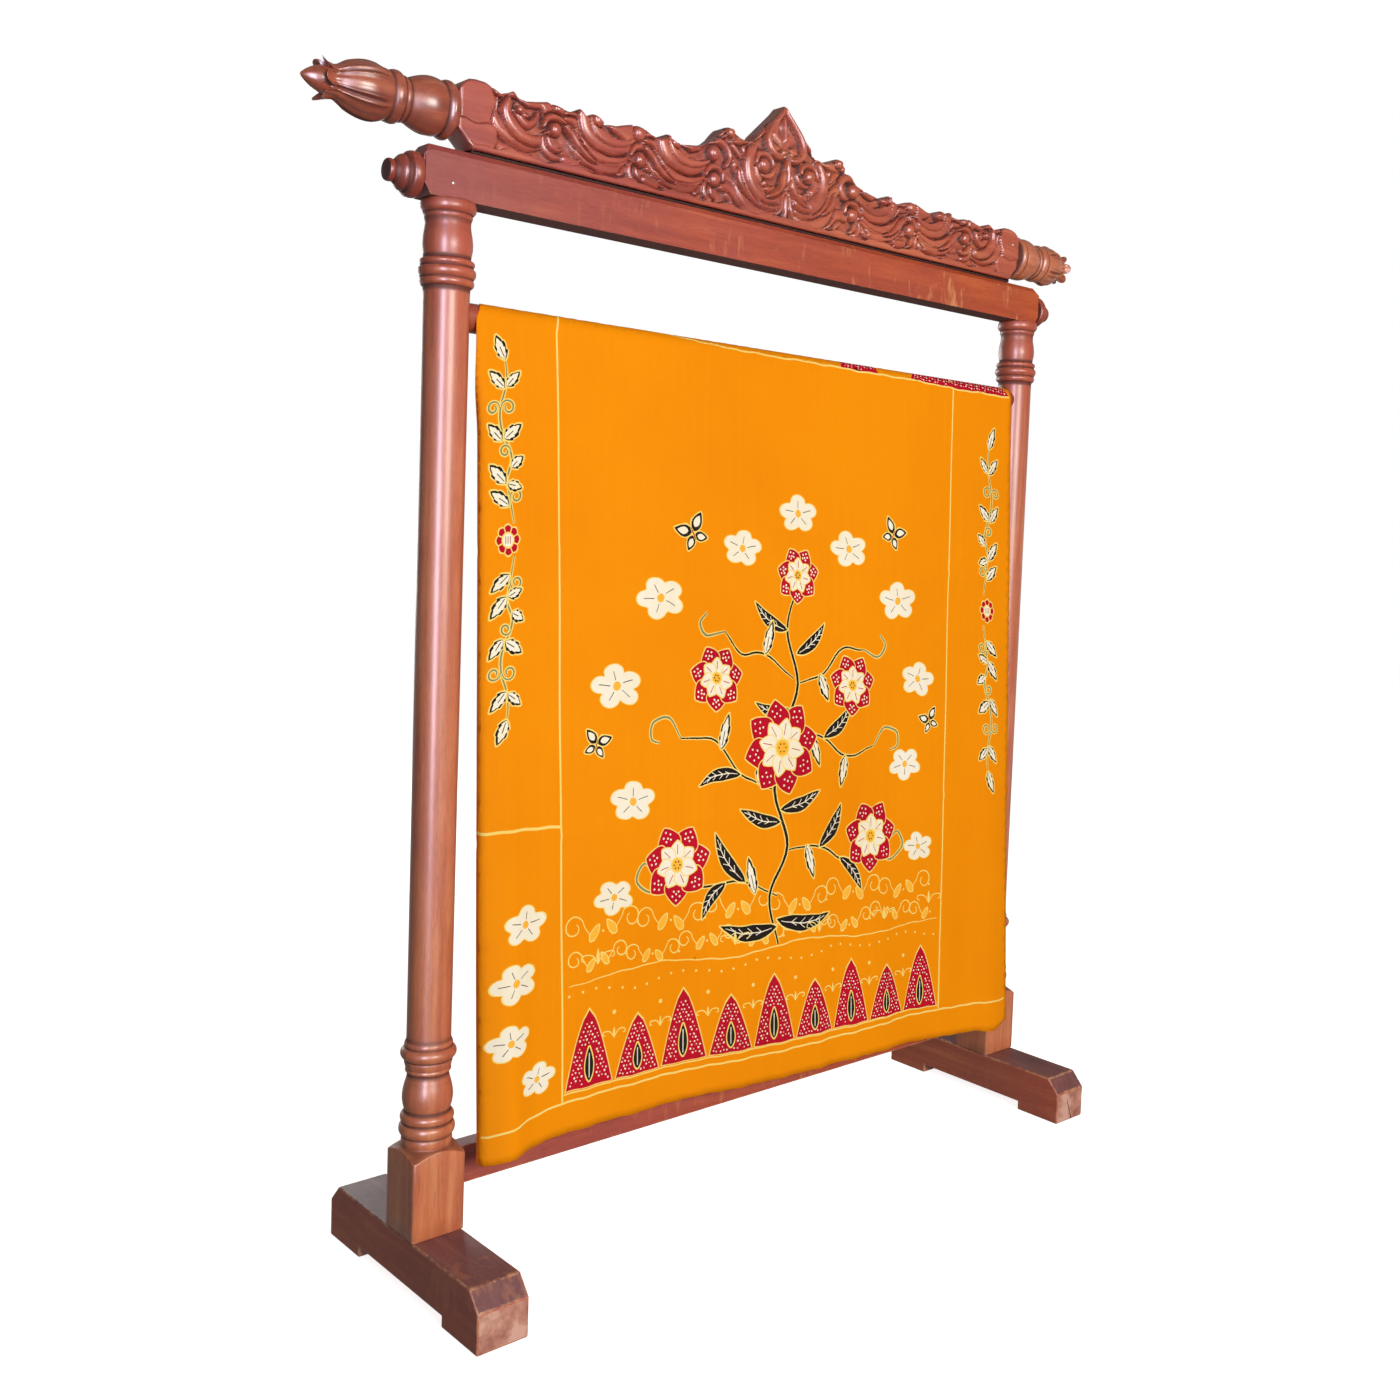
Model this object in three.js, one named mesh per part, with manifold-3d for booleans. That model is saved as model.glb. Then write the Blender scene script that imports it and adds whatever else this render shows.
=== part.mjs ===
// A batik cloth hung over the round rail of a carved wooden display stand.
// Millimetres, +Z up. X runs along the stand's width, -Y is the front.
// The origin is on the floor, below the middle of the whole object.
import * as THREE from 'three';
import { mergeVertices } from 'three/addons/utils/BufferGeometryUtils.js';
import Module from 'manifold-3d';

const wasm = await Module();
wasm.setup();

// Driving dimensions of the stand
const seat = 0.3;              // clearance between a piece and the one that carries it
const postSpacing = 1200;      // between the axes of the two posts
const crestToPosts = 20;       // the posts' middle lies this far right of the crest's middle

const foot = {
  width: 76, height: 80, length: 420,
  chamferAlong: 23, chamferUp: 25,   // sloped cut at the top of each end
  pad: 91.5, notch: 15.4,            // end pads, and the hollow between them
};
const post = { side: 78, blockTop: 199, cornerDrop: 9, top: 1480 };
const stretcher = { bottom: 133, height: 53, thickness: 30 };
const rail = { radius: 20, z: 1332 };
const beam = { length: 1282, middle: -7, thickness: 45, height: 66.5, edge: 9, endCut: 10, cornerCut: 16, arris: 2 };
const knobAxisZ = 1505;
const crest = {
  length: 1166, front: -30, back: 20, cut: 25,
  shoulderZ: 1640, peakZ: 1738, peakFront: -17, peakBack: 17,   // above its shoulders the board thins
};
const finialAxisZ = 1597;

const beamTop = post.top + beam.height;
const crestBottom = beamTop + seat;

// Driving dimensions of the cloth
const cloth = {
  width: 1131, length: 2400, thickness: 1.2,
  leftX: -566,                 // left edge on the rail, from the posts' middle
  frontDrop: 1147,             // from the rail's axis down to the front hem, at the left edge
  rowSlope: 0.035,             // the front drop grows by this much for each millimetre to the right
  hemBow: 11,                  // the front hem's middle hangs this much higher than its ends
  hemCorner: 7,                // its left corner hangs this much lower again
  frontLean: 47, backLean: 30, // how far the hems hang out from the rail
  frontSpread: [3, 9],         // sideways drift of the front's left and right edges at the hem
  backShift: 6,                // sideways drift of the back panel at its hem
  backTuck: [32, 65],          // the back's left edge lies this much further in at the rail, and then at the hem
  turn: 16, turnAngle: 1.9,    // the front's left edge is turned back, over this width
};
cloth.radius = rail.radius + seat + cloth.thickness / 2;

const wood = { color: 0x8a4230, roughness: 0.35, metalness: 0 };
const materials = {
  cloth: { color: 0xf39a0a, roughness: 0.85, metalness: 0 },
  turned: { ...wood, color: 0x9a4a30 },
  sawn: wood,
  carved: { ...wood, color: 0x7c3528 },
};

const group = new THREE.Group();
const stand = new THREE.Group();
const top = new THREE.Group();
group.add(stand, top);

function addPiece(parent, name, geometry, material) {
  const mesh = new THREE.Mesh(geometry, new THREE.MeshStandardMaterial(materials[material]));
  mesh.name = name;
  parent.add(mesh);
  return mesh;
}

// Keep only merged positions, drop collapsed triangles and turn the faces outwards
function closed(geometry) {
  geometry.deleteAttribute('normal');
  geometry.deleteAttribute('uv');
  const merged = mergeVertices(geometry, 1e-3);
  const source = merged.index.array;
  const position = merged.attributes.position;
  const kept = [];
  for (let i = 0; i < source.length; i += 3) {
    const [a, b, c] = [source[i], source[i + 1], source[i + 2]];
    if (a !== b && b !== c && c !== a) kept.push(a, b, c);
  }
  const corner = [new THREE.Vector3(), new THREE.Vector3(), new THREE.Vector3()];
  let volume = 0;
  for (let i = 0; i < kept.length; i += 3) {
    corner.forEach((v, k) => v.fromBufferAttribute(position, kept[i + k]));
    volume += corner[0].dot(corner[1].clone().cross(corner[2])) / 6;
  }
  if (volume < 0) {
    for (let i = 0; i < kept.length; i += 3) {
      [kept[i + 1], kept[i + 2]] = [kept[i + 2], kept[i + 1]];
    }
  }
  merged.setIndex(kept);
  return merged;
}

function toSolid(geometry) {
  const merged = closed(geometry);
  return new wasm.Manifold(new wasm.Mesh({
    numProp: 3,
    vertProperties: new Float32Array(merged.attributes.position.array),
    triVerts: new Uint32Array(merged.index.array),
  }));
}

function toGeometry(solid) {
  const mesh = solid.getMesh();
  const geometry = new THREE.BufferGeometry();
  geometry.setAttribute('position', new THREE.BufferAttribute(new Float32Array(mesh.vertProperties), 3));
  geometry.setIndex(new THREE.BufferAttribute(new Uint32Array(mesh.triVerts), 1));
  return geometry;
}

// A turned shape about Z. Each row is [height, radius]; the ends close on the axis.
function turned(rows, segments) {
  const points = rows.map(([height, radius]) => new THREE.Vector2(radius, height));
  points.unshift(new THREE.Vector2(0, rows[0][0]));
  points.push(new THREE.Vector2(0, rows.at(-1)[0]));
  return closed(new THREE.LatheGeometry(points, segments).rotateX(Math.PI / 2));
}

// An outline in (across, up) pulled along Y from one y to another
function slab(outline, yFrom, yTo) {
  const shape = new THREE.Shape(outline.map(([x, z]) => new THREE.Vector2(x, z)));
  const geometry = new THREE.ExtrudeGeometry(shape, { depth: yTo - yFrom, bevelEnabled: false });
  return closed(geometry.rotateX(Math.PI / 2).translate(0, yTo, 0));
}

// An outline in (y, z) pulled along X, centred
function bar(outline, length) {
  const shape = new THREE.Shape(outline.map(([y, z]) => new THREE.Vector2(y, z)));
  const geometry = new THREE.ExtrudeGeometry(shape, { depth: length, bevelEnabled: false });
  geometry.translate(0, 0, -length / 2).rotateX(Math.PI / 2).rotateZ(Math.PI / 2);
  return closed(geometry);
}

function makeFoot() {
  const half = foot.length / 2;
  const side = [
    [-half, 0], [-half + foot.pad, 0], [-half + foot.pad, foot.notch],
    [half - foot.pad, foot.notch], [half - foot.pad, 0], [half, 0],
    [half, foot.height - foot.chamferUp], [half - foot.chamferAlong, foot.height],
    [-half + foot.chamferAlong, foot.height], [-half, foot.height - foot.chamferUp],
  ];
  return bar(side, foot.width);
}

// The column's turnings from the square block up to the cap: [height, radius]
const columnRows = [
  [post.blockTop - 12, 33], [post.blockTop + 3, 33], [208, 34.5], [216, 34.5],
  [221, 36.8], [229, 38], [237, 36.8], [242, 33.4], [248, 31.3], [258, 32.8], [268, 34],
  [282, 32], [294, 28.4], [302, 26.7], [308, 29.6], [315, 30.2], [320, 35], [329, 37.2],
  [338, 35.6], [345, 30.6], [355, 29.7], [860, 30.4], [1362, 30.8],
  [1366, 34.6], [1372, 36], [1378, 35.2], [1384, 38], [1391, 35.6], [1398, 34.7], [1404, 31],
  [1408, 30], [1421, 33], [1436, 31], [1452, 27.8], [1457, 29.6], [1462, 31.3], [1467, 30.6],
  [1470, 34.2], [1475, 35], [post.top - seat, 33.6],
];

function makePost() {
  const half = post.side / 2;
  const base = foot.height + seat;
  const corner = half * Math.SQRT2;
  const square = [[-half, base], [half, base], [half, post.blockTop], [-half, post.blockTop]];
  const block = toSolid(slab(square, -half, half));
  // the shoulder's cone takes the block's corners down below the middle of its sides
  const shoulder = toSolid(turned([
    [base - 1, corner + 8], [post.blockTop - post.cornerDrop - 5, corner + 8],
    [post.blockTop, half], [post.blockTop + 1, half - 2],
  ], 48));
  const column = toSolid(turned(columnRows, 24));
  return toGeometry(block.intersect(shoulder).add(column));
}

function makeStretcher() {
  const half = stretcher.thickness / 2;
  const upper = stretcher.bottom + stretcher.height;
  const section = [[-half, stretcher.bottom], [half, stretcher.bottom], [half, upper], [-half, upper]];
  return bar(section, postSpacing - post.side - 2 * seat);
}

// A round bar whose ends are coped to the round posts
function makeRail() {
  const round = turned([[-postSpacing / 2, rail.radius], [postSpacing / 2, rail.radius]], 28);
  const solid = toSolid(round.rotateY(Math.PI / 2).translate(0, 0, rail.z));
  const shaft = columnRows.find(([height]) => height > rail.z)[1] + seat;
  const cutter = turned([[rail.z - 60, shaft], [rail.z + 60, shaft]], 40);
  const left = toSolid(cutter.clone().translate(-postSpacing / 2, 0, 0));
  const right = toSolid(cutter.clone().translate(postSpacing / 2, 0, 0));
  return toGeometry(solid.subtract(left).subtract(right).decompose().find((piece) => {
    const { min, max } = piece.boundingBox();
    return max[0] - min[0] > postSpacing / 2;
  }));
}

// A bar with chamfered upper edges, its ends cut back at every edge
function makeBeam() {
  const half = beam.thickness / 2;
  const end = beam.length / 2;
  const { edge, endCut, cornerCut, arris } = beam;
  const section = [
    [-half, post.top], [half, post.top], [half, beamTop - edge], [half - edge, beamTop],
    [-half + edge, beamTop], [-half, beamTop - edge],
  ];
  const front = [
    [-end, post.top + cornerCut], [-end + endCut, post.top], [end - endCut, post.top],
    [end, post.top + cornerCut], [end, beamTop - cornerCut], [end - endCut, beamTop],
    [-end + endCut, beamTop], [-end, beamTop - cornerCut],
  ];
  const plan = [
    [-end, -half + arris], [-end + arris, -half], [end - arris, -half], [end, -half + arris],
    [end, half - arris], [end - arris, half], [-end + arris, half], [-end, half - arris],
  ];
  const lid = slab(plan, post.top - 1, beamTop + 1).translate(0, -(post.top + beamTop) / 2, 0);
  lid.rotateX(Math.PI / 2).translate(0, 0, (post.top + beamTop) / 2);
  return toGeometry(toSolid(bar(section, beam.length + 2))
    .intersect(toSolid(slab(front, -half - 1, half + 1)))
    .intersect(toSolid(lid))).translate(beam.middle, 0, 0);
}

// Knob on the beam's end, outwards from the beam: [distance, radius]
const knobRows = [
  [0, 26], [2, 29.7], [9, 30.2], [14, 28.8], [17, 25], [19, 23.2], [21, 23.6], [26, 20.6],
  [30, 15.4], [33, 13.4], [36, 14.6], [40, 14.8], [42, 13.6],
];

function makeKnob(side) {
  const out = turned(knobRows, 20).rotateY(side * Math.PI / 2);
  return out.translate(beam.middle + side * (beam.length / 2 + seat), 0, knobAxisZ);
}

// Upper edge of the crest from its middle to its end: [distance from the middle, height].
// The gable rises over a leaf, drops to a curl, and runs out in a low line of leaf tips.
const crestRows = [
  [0, 1738], [9, 1727], [30, 1706], [52, 1684], [70, 1672], [104, 1667], [112, 1675], [121, 1676],
  [132, 1669], [147, 1652], [166, 1640], [204, 1632], [226, 1630], [235, 1640], [243, 1630],
  [265, 1632], [290, 1640], [314, 1636], [346, 1629], [372, 1640], [384, 1634], [391, 1643],
  [400, 1632], [445, 1638], [486, 1631], [503, 1640], [517, 1632], [540, 1641], [562, 1640],
  [574, 1635], [580, 1628],
];

function makeCrest() {
  const end = crest.length / 2;
  const right = crestRows.slice(1);
  const left = [...right].reverse().map(([x, z]) => [-x, z]);
  const outline = [
    [-end + crest.cut, crestBottom], [end - crest.cut, crestBottom], [end, crestBottom + crest.cut],
    [end, 1618], ...[...right].reverse(), crestRows[0], ...[...left].reverse(),
    [-end, 1618], [-end, crestBottom + crest.cut],
  ];
  const section = [
    [crest.front, crestBottom - 1], [crest.back, crestBottom - 1], [crest.back, crest.shoulderZ],
    [crest.peakBack, crest.peakZ + 1], [crest.peakFront, crest.peakZ + 1], [crest.front, crest.shoulderZ],
  ];
  return toGeometry(toSolid(slab(outline, crest.front - 5, crest.back + 5))
    .intersect(toSolid(bar(section, crest.length + 2))));
}

// Finial outwards from the crest's end: [distance, radius, share of the radius that the petals shape]
const budRows = [
  [0, 32, 0], [2, 36.4, 0], [8, 39, 0], [14, 36.4, 0], [17, 34.6, 0], [24, 37.6, 0], [35, 38.4, 0],
  [46, 36, 0], [58, 31, 0], [66, 27.8, 0], [69, 29.8, 0], [73, 28.8, 0], [76, 32.4, 0], [81, 34.3, 0],
  [87, 33, 0], [90, 31.4, 0], [98, 34.2, 0.03], [109, 36.8, 0.07], [119, 37.5, 0.1], [131, 35.8, 0.13],
  [143, 31.8, 0.15], [153, 26.8, 0.15], [162, 22, 0.12], [168, 20.8, 0.12], [174, 23, 0.18],
  [180, 27.4, 0.26], [177, 22.6, 0.16], [171, 17.6, 0],
];
// The core stands out of the left bud, and is worn down to the petals' tips on the right
const coreRows = {
  left: [[178, 16.8, 0], [186, 13.8, 0], [194, 8.8, 0], [200, 3.6, 0], [202, 1.2, 0]],
  right: [[176, 13, 0], [178, 7, 0]],
};
const petals = 6;

// Radius at an angle: full at the middle of a petal, less in the groove between two
function petalShape(radius, share, angle) {
  const rib = Math.abs(Math.sin(angle * petals / 2)) ** 0.7;
  return radius * (1 - share * (1 - rib));
}

function makeFinial(name, side) {
  const finialRows = [...budRows, ...coreRows[name]];
  const profile = finialRows.map(([along, radius]) => new THREE.Vector2(radius, along));
  profile.unshift(new THREE.Vector2(0, 0));
  profile.push(new THREE.Vector2(0, finialRows.at(-1)[0]));
  const geometry = new THREE.LatheGeometry(profile, 4 * petals);
  const position = geometry.attributes.position;
  for (let i = 0; i < position.count; i += 1) {
    const row = finialRows[(i % profile.length) - 1];
    if (!row) continue;
    const angle = Math.atan2(position.getX(i), position.getZ(i));
    const radius = petalShape(row[1], row[2], angle);
    position.setXYZ(i, radius * Math.sin(angle), row[0], radius * Math.cos(angle));
  }
  const shaped = closed(geometry.rotateX(Math.PI / 2)).rotateY(side * Math.PI / 2);
  return shaped.translate(side * (crest.length / 2 + seat), 0, finialAxisZ);
}

// Soft folds of the panels: place across the cloth, half width, and how far the hem stands out
const frontFolds = [
  { across: 46, spread: 32, out: 24 }, { across: 330, spread: 90, out: -7 },
  { across: 620, spread: 120, out: 6 }, { across: 880, spread: 80, out: -6 },
  { across: 1078, spread: 42, out: 15 },
];
const backFolds = [
  { across: 100, spread: 60, out: 20 }, { across: 300, spread: 80, out: -12 },
  { across: 520, spread: 80, out: 24 }, { across: 760, spread: 80, out: -12 },
  { across: 1010, spread: 90, out: 14 },
];

function foldOut(folds, across, share) {
  const height = share * share;
  return folds.reduce((sum, fold) => {
    const reach = (across - fold.across) / fold.spread;
    return sum + fold.out * height * Math.exp(-reach * reach);
  }, 0);
}

// How far the cloth drops below the rail's axis on the front at a place across it
function frontDropAt(across) {
  const fromMiddle = 2 * across / cloth.width - 1;
  const corner = cloth.hemCorner * Math.exp(-((across / 60) ** 2));
  return cloth.frontDrop + cloth.rowSlope * across - cloth.hemBow * (1 - fromMiddle ** 4) + corner;
}

function backDropAt(across) {
  return cloth.length - Math.PI * cloth.radius - frontDropAt(across);
}

// A point of the sheet on the front panel, its drop given as a share of the whole drop
function frontPoint(across, share) {
  const drop = share * frontDropAt(across);
  const drift = THREE.MathUtils.lerp(...cloth.frontSpread, across / cloth.width) * share;
  const bend = cloth.turnAngle * THREE.MathUtils.smoothstep(share, 0.02, 0.14);
  let x = cloth.leftX + across + drift;
  let y = -cloth.radius - cloth.frontLean * share - foldOut(frontFolds, across, share);
  const inTurn = cloth.turn - across;
  if (inTurn > 0 && bend > 0) {
    const radius = cloth.turn / bend;
    x = cloth.leftX + cloth.turn + drift - radius * Math.sin(inTurn / radius);
    y += radius * (1 - Math.cos(inTurn / radius));
  }
  return new THREE.Vector3(x, y, rail.z - drop);
}

// How far in a point of the back lies; its soft folds take up the width
function tuckAt(across, share) {
  return (cloth.backTuck[0] + cloth.backTuck[1] * share ** 0.8) * (1 - across / cloth.width);
}

function backPoint(across, share) {
  const drop = share * backDropAt(across);
  const x = cloth.leftX + across + cloth.backShift * share + tuckAt(across, share);
  const y = cloth.radius + cloth.backLean * share + foldOut(backFolds, across, share);
  return new THREE.Vector3(x, y, rail.z - drop);
}

function railPoint(across, angle) {
  const y = -cloth.radius * Math.cos(angle);
  const x = cloth.leftX + across + tuckAt(across, 0) * angle / Math.PI;
  return new THREE.Vector3(x, y, rail.z + cloth.radius * Math.sin(angle));
}

const frontRows = 15;
const railRows = 10;
const backRows = 11;
const acrossStops = [
  0, 4, 8, 12, 16, 30, 46, 62, 80, 104, 150, 230, 300, 370, 450, 530, 620, 710, 790, 850, 910,
  980, 1030, 1056, 1078, 1100, cloth.width,
];

// One column of the sheet, from the front hem up over the rail and down to the back hem
function sheetColumn(across) {
  const column = [];
  for (let i = frontRows; i >= 1; i -= 1) column.push(frontPoint(across, (i / frontRows) ** 1.15));
  for (let i = 0; i <= railRows; i += 1) column.push(railPoint(across, Math.PI * i / railRows));
  for (let i = 1; i <= backRows; i += 1) column.push(backPoint(across, i / backRows));
  return column;
}

function makeCloth() {
  const columns = acrossStops.map(sheetColumn);
  const rows = columns[0].length;
  const last = columns.length - 1;
  const positions = [];
  const normals = columns.map((column, i) => column.map((point, j) => {
    const alongRow = new THREE.Vector3().subVectors(columns[Math.min(i + 1, last)][j], columns[Math.max(i - 1, 0)][j]);
    const alongColumn = new THREE.Vector3().subVectors(column[Math.min(j + 1, rows - 1)], column[Math.max(j - 1, 0)]);
    return alongRow.cross(alongColumn).normalize();
  }));
  for (const face of [1, -1]) {
    columns.forEach((column, i) => column.forEach((point, j) => {
      const moved = point.clone().addScaledVector(normals[i][j], face * cloth.thickness / 2);
      positions.push(moved.x, moved.y, moved.z);
    }));
  }
  const outer = (i, j) => i * rows + j;
  const inner = (i, j) => columns.length * rows + i * rows + j;
  const index = [];
  const quad = (a, b, c, d) => index.push(a, b, c, a, c, d);
  for (let i = 0; i < last; i += 1) {
    for (let j = 0; j < rows - 1; j += 1) {
      quad(outer(i, j), outer(i + 1, j), outer(i + 1, j + 1), outer(i, j + 1));
      quad(inner(i, j), inner(i, j + 1), inner(i + 1, j + 1), inner(i + 1, j));
    }
    quad(outer(i, 0), inner(i, 0), inner(i + 1, 0), outer(i + 1, 0));
    quad(outer(i + 1, rows - 1), inner(i + 1, rows - 1), inner(i, rows - 1), outer(i, rows - 1));
  }
  for (let j = 0; j < rows - 1; j += 1) {
    quad(outer(0, j + 1), inner(0, j + 1), inner(0, j), outer(0, j));
    quad(outer(last, j), inner(last, j), inner(last, j + 1), outer(last, j + 1));
  }
  const geometry = new THREE.BufferGeometry();
  geometry.setAttribute('position', new THREE.Float32BufferAttribute(positions, 3));
  geometry.setIndex(index);
  return closed(geometry);
}

// The middle of the whole object lies halfway between the tips of the two finials
const reach = Object.fromEntries(['left', 'right'].map((name) => {
  const tips = [...budRows, ...coreRows[name]].map(([along]) => along);
  return [name, crest.length / 2 + seat + Math.max(...tips)];
}));
top.position.x = (reach.left - reach.right) / 2;
stand.position.x = top.position.x + crestToPosts;

for (const [name, side] of [['left', -1], ['right', 1]]) {
  addPiece(stand, `foot_${name}`, makeFoot(), 'sawn').position.x = side * postSpacing / 2;
  addPiece(stand, `post_${name}`, makePost(), 'turned').position.x = side * postSpacing / 2;
  addPiece(stand, `knob_${name}`, makeKnob(side), 'turned');
  addPiece(top, `finial_${name}`, makeFinial(name, side), 'turned');
}
addPiece(stand, 'stretcher', makeStretcher(), 'sawn');
addPiece(stand, 'rail', makeRail(), 'turned');
addPiece(stand, 'beam', makeBeam(), 'sawn');
addPiece(top, 'crest', makeCrest(), 'carved');
addPiece(stand, 'cloth', makeCloth(), 'cloth');

export default group;
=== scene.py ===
"""A batik cloth on a carved wooden display stand, dressed over its CAD frame."""

import math

import bmesh
import bpy
import numpy as np
from mathutils import Matrix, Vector
from mathutils.geometry import delaunay_2d_cdt


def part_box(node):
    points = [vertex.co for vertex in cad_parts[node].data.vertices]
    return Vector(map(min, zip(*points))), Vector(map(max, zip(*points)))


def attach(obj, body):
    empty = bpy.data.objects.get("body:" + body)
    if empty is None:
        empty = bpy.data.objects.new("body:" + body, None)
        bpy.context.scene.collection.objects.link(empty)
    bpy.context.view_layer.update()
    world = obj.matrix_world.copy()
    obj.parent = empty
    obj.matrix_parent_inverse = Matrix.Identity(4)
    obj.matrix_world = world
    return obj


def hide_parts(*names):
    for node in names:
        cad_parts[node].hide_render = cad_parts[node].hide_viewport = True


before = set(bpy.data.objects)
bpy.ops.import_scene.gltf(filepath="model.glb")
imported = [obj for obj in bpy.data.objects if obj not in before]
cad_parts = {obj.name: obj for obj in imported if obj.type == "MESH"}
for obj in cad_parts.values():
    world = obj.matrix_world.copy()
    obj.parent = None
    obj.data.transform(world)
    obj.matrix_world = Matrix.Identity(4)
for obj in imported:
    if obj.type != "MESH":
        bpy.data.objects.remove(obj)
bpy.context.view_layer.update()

MM = 0.001


def linear(hex_colour):
    """An sRGB hex colour in the linear values that the shaders take."""
    channels = [int(hex_colour[i:i + 2], 16) / 255 for i in (1, 3, 5)]
    return [c / 12.92 if c <= 0.04045 else ((c + 0.055) / 1.055) ** 2.4 for c in channels] + [1.0]


def set_inputs(tree, made, inputs):
    """Links each input that is given a socket, and sets any other to its value."""
    for key, value in inputs.items():
        if isinstance(value, bpy.types.NodeSocket):
            tree.links.new(value, made.inputs[key])
        else:
            made.inputs[key].default_value = value


def add(tree, kind, inputs=None, **settings):
    """Adds a node with its settings, and its inputs linked or set."""
    made = tree.nodes.new(kind)
    for key, value in settings.items():
        setattr(made, key, value)
    set_inputs(tree, made, inputs or {})
    return made


def object_place(tree):
    return add(tree, "ShaderNodeTexCoord").outputs["Object"]


def scaled(tree, place, scale):
    """A place scaled by its own amount along each axis."""
    return add(tree, "ShaderNodeMapping", {"Vector": place, "Scale": scale}).outputs[0]


def noise(tree, place, scale, detail, roughness, distortion=0.0):
    return add(tree, "ShaderNodeTexNoise", {
        "Vector": place, "Scale": scale, "Detail": detail, "Roughness": roughness,
        "Distortion": distortion}).outputs["Fac"]


def spread(tree, value, low, high, to_low=0.0, to_high=1.0, **settings):
    """The value's range from low to high, taken to another range and held at its ends."""
    return add(tree, "ShaderNodeMapRange", {
        "Value": value, "From Min": low, "From Max": high, "To Min": to_low, "To Max": to_high},
        **settings).outputs[0]


def times(tree, first, second):
    return add(tree, "ShaderNodeMath", {0: first, 1: second}, operation="MULTIPLY").outputs[0]


def mixed(tree, amount, first, second, blend="MIX"):
    """Two colours mixed by an amount, or the first multiplied by the second."""
    return add(tree, "ShaderNodeMix", {0: amount, 6: first, 7: second},
               data_type="RGBA", blend_type=blend).outputs[2]


def bumped(tree, height, strength, distance, under=None):
    """A normal roughened by height, over the normal under it if there is one."""
    inputs = {"Strength": strength, "Distance": distance, "Height": height}
    if under is not None:
        inputs["Normal"] = under
    return add(tree, "ShaderNodeBump", inputs).outputs[0]


def colour_steps(tree, value, steps):
    """The colour that a value has between (place, hex colour) steps."""
    ramp = add(tree, "ShaderNodeValToRGB", {"Fac": value})
    elements = ramp.color_ramp.elements
    while len(elements) < len(steps):
        elements.new(0.5)
    for element, (place, hex_colour) in zip(elements, steps):
        element.position = place
        element.color = linear(hex_colour)
    return ramp.outputs["Color"]


def new_material(name, inputs=None):
    """A material with one shader, its inputs set."""
    material = bpy.data.materials.new(name)
    material.use_nodes = True
    tree = material.node_tree
    tree.nodes.clear()
    output = add(tree, "ShaderNodeOutputMaterial")
    shader = add(tree, "ShaderNodeBsdfPrincipled", inputs)
    tree.links.new(shader.outputs["BSDF"], output.inputs["Surface"])
    return material, tree, shader


# Wood

FIGURE_ACROSS = 1 / 0.022         # dark and light bands of the grain, about 22 mm apart
PORES_ACROSS = 1 / 0.0011         # open pores, drawn 1.1 mm apart; the real ones are finer
ALONG_GRAIN = 1 / 14              # both are stretched this much along the grain
STAIN_CLOUDS = 7.0                # clouds of the stain, about 140 mm across
CHIPS = 70.0                      # chips of the worn varnish, about 14 mm across
SCRATCHES = (90.0, 60.0, 22.0)    # scratches, longest up and down
BRUSH_WAVES = 22.0                # soft waves of hand-rubbed wood, about 45 mm apart
DRIFT_SPANS = {"X": (-0.6, 0.65), "Z": (0.08, 1.48)}     # metres over which a drift tints the wood


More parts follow.
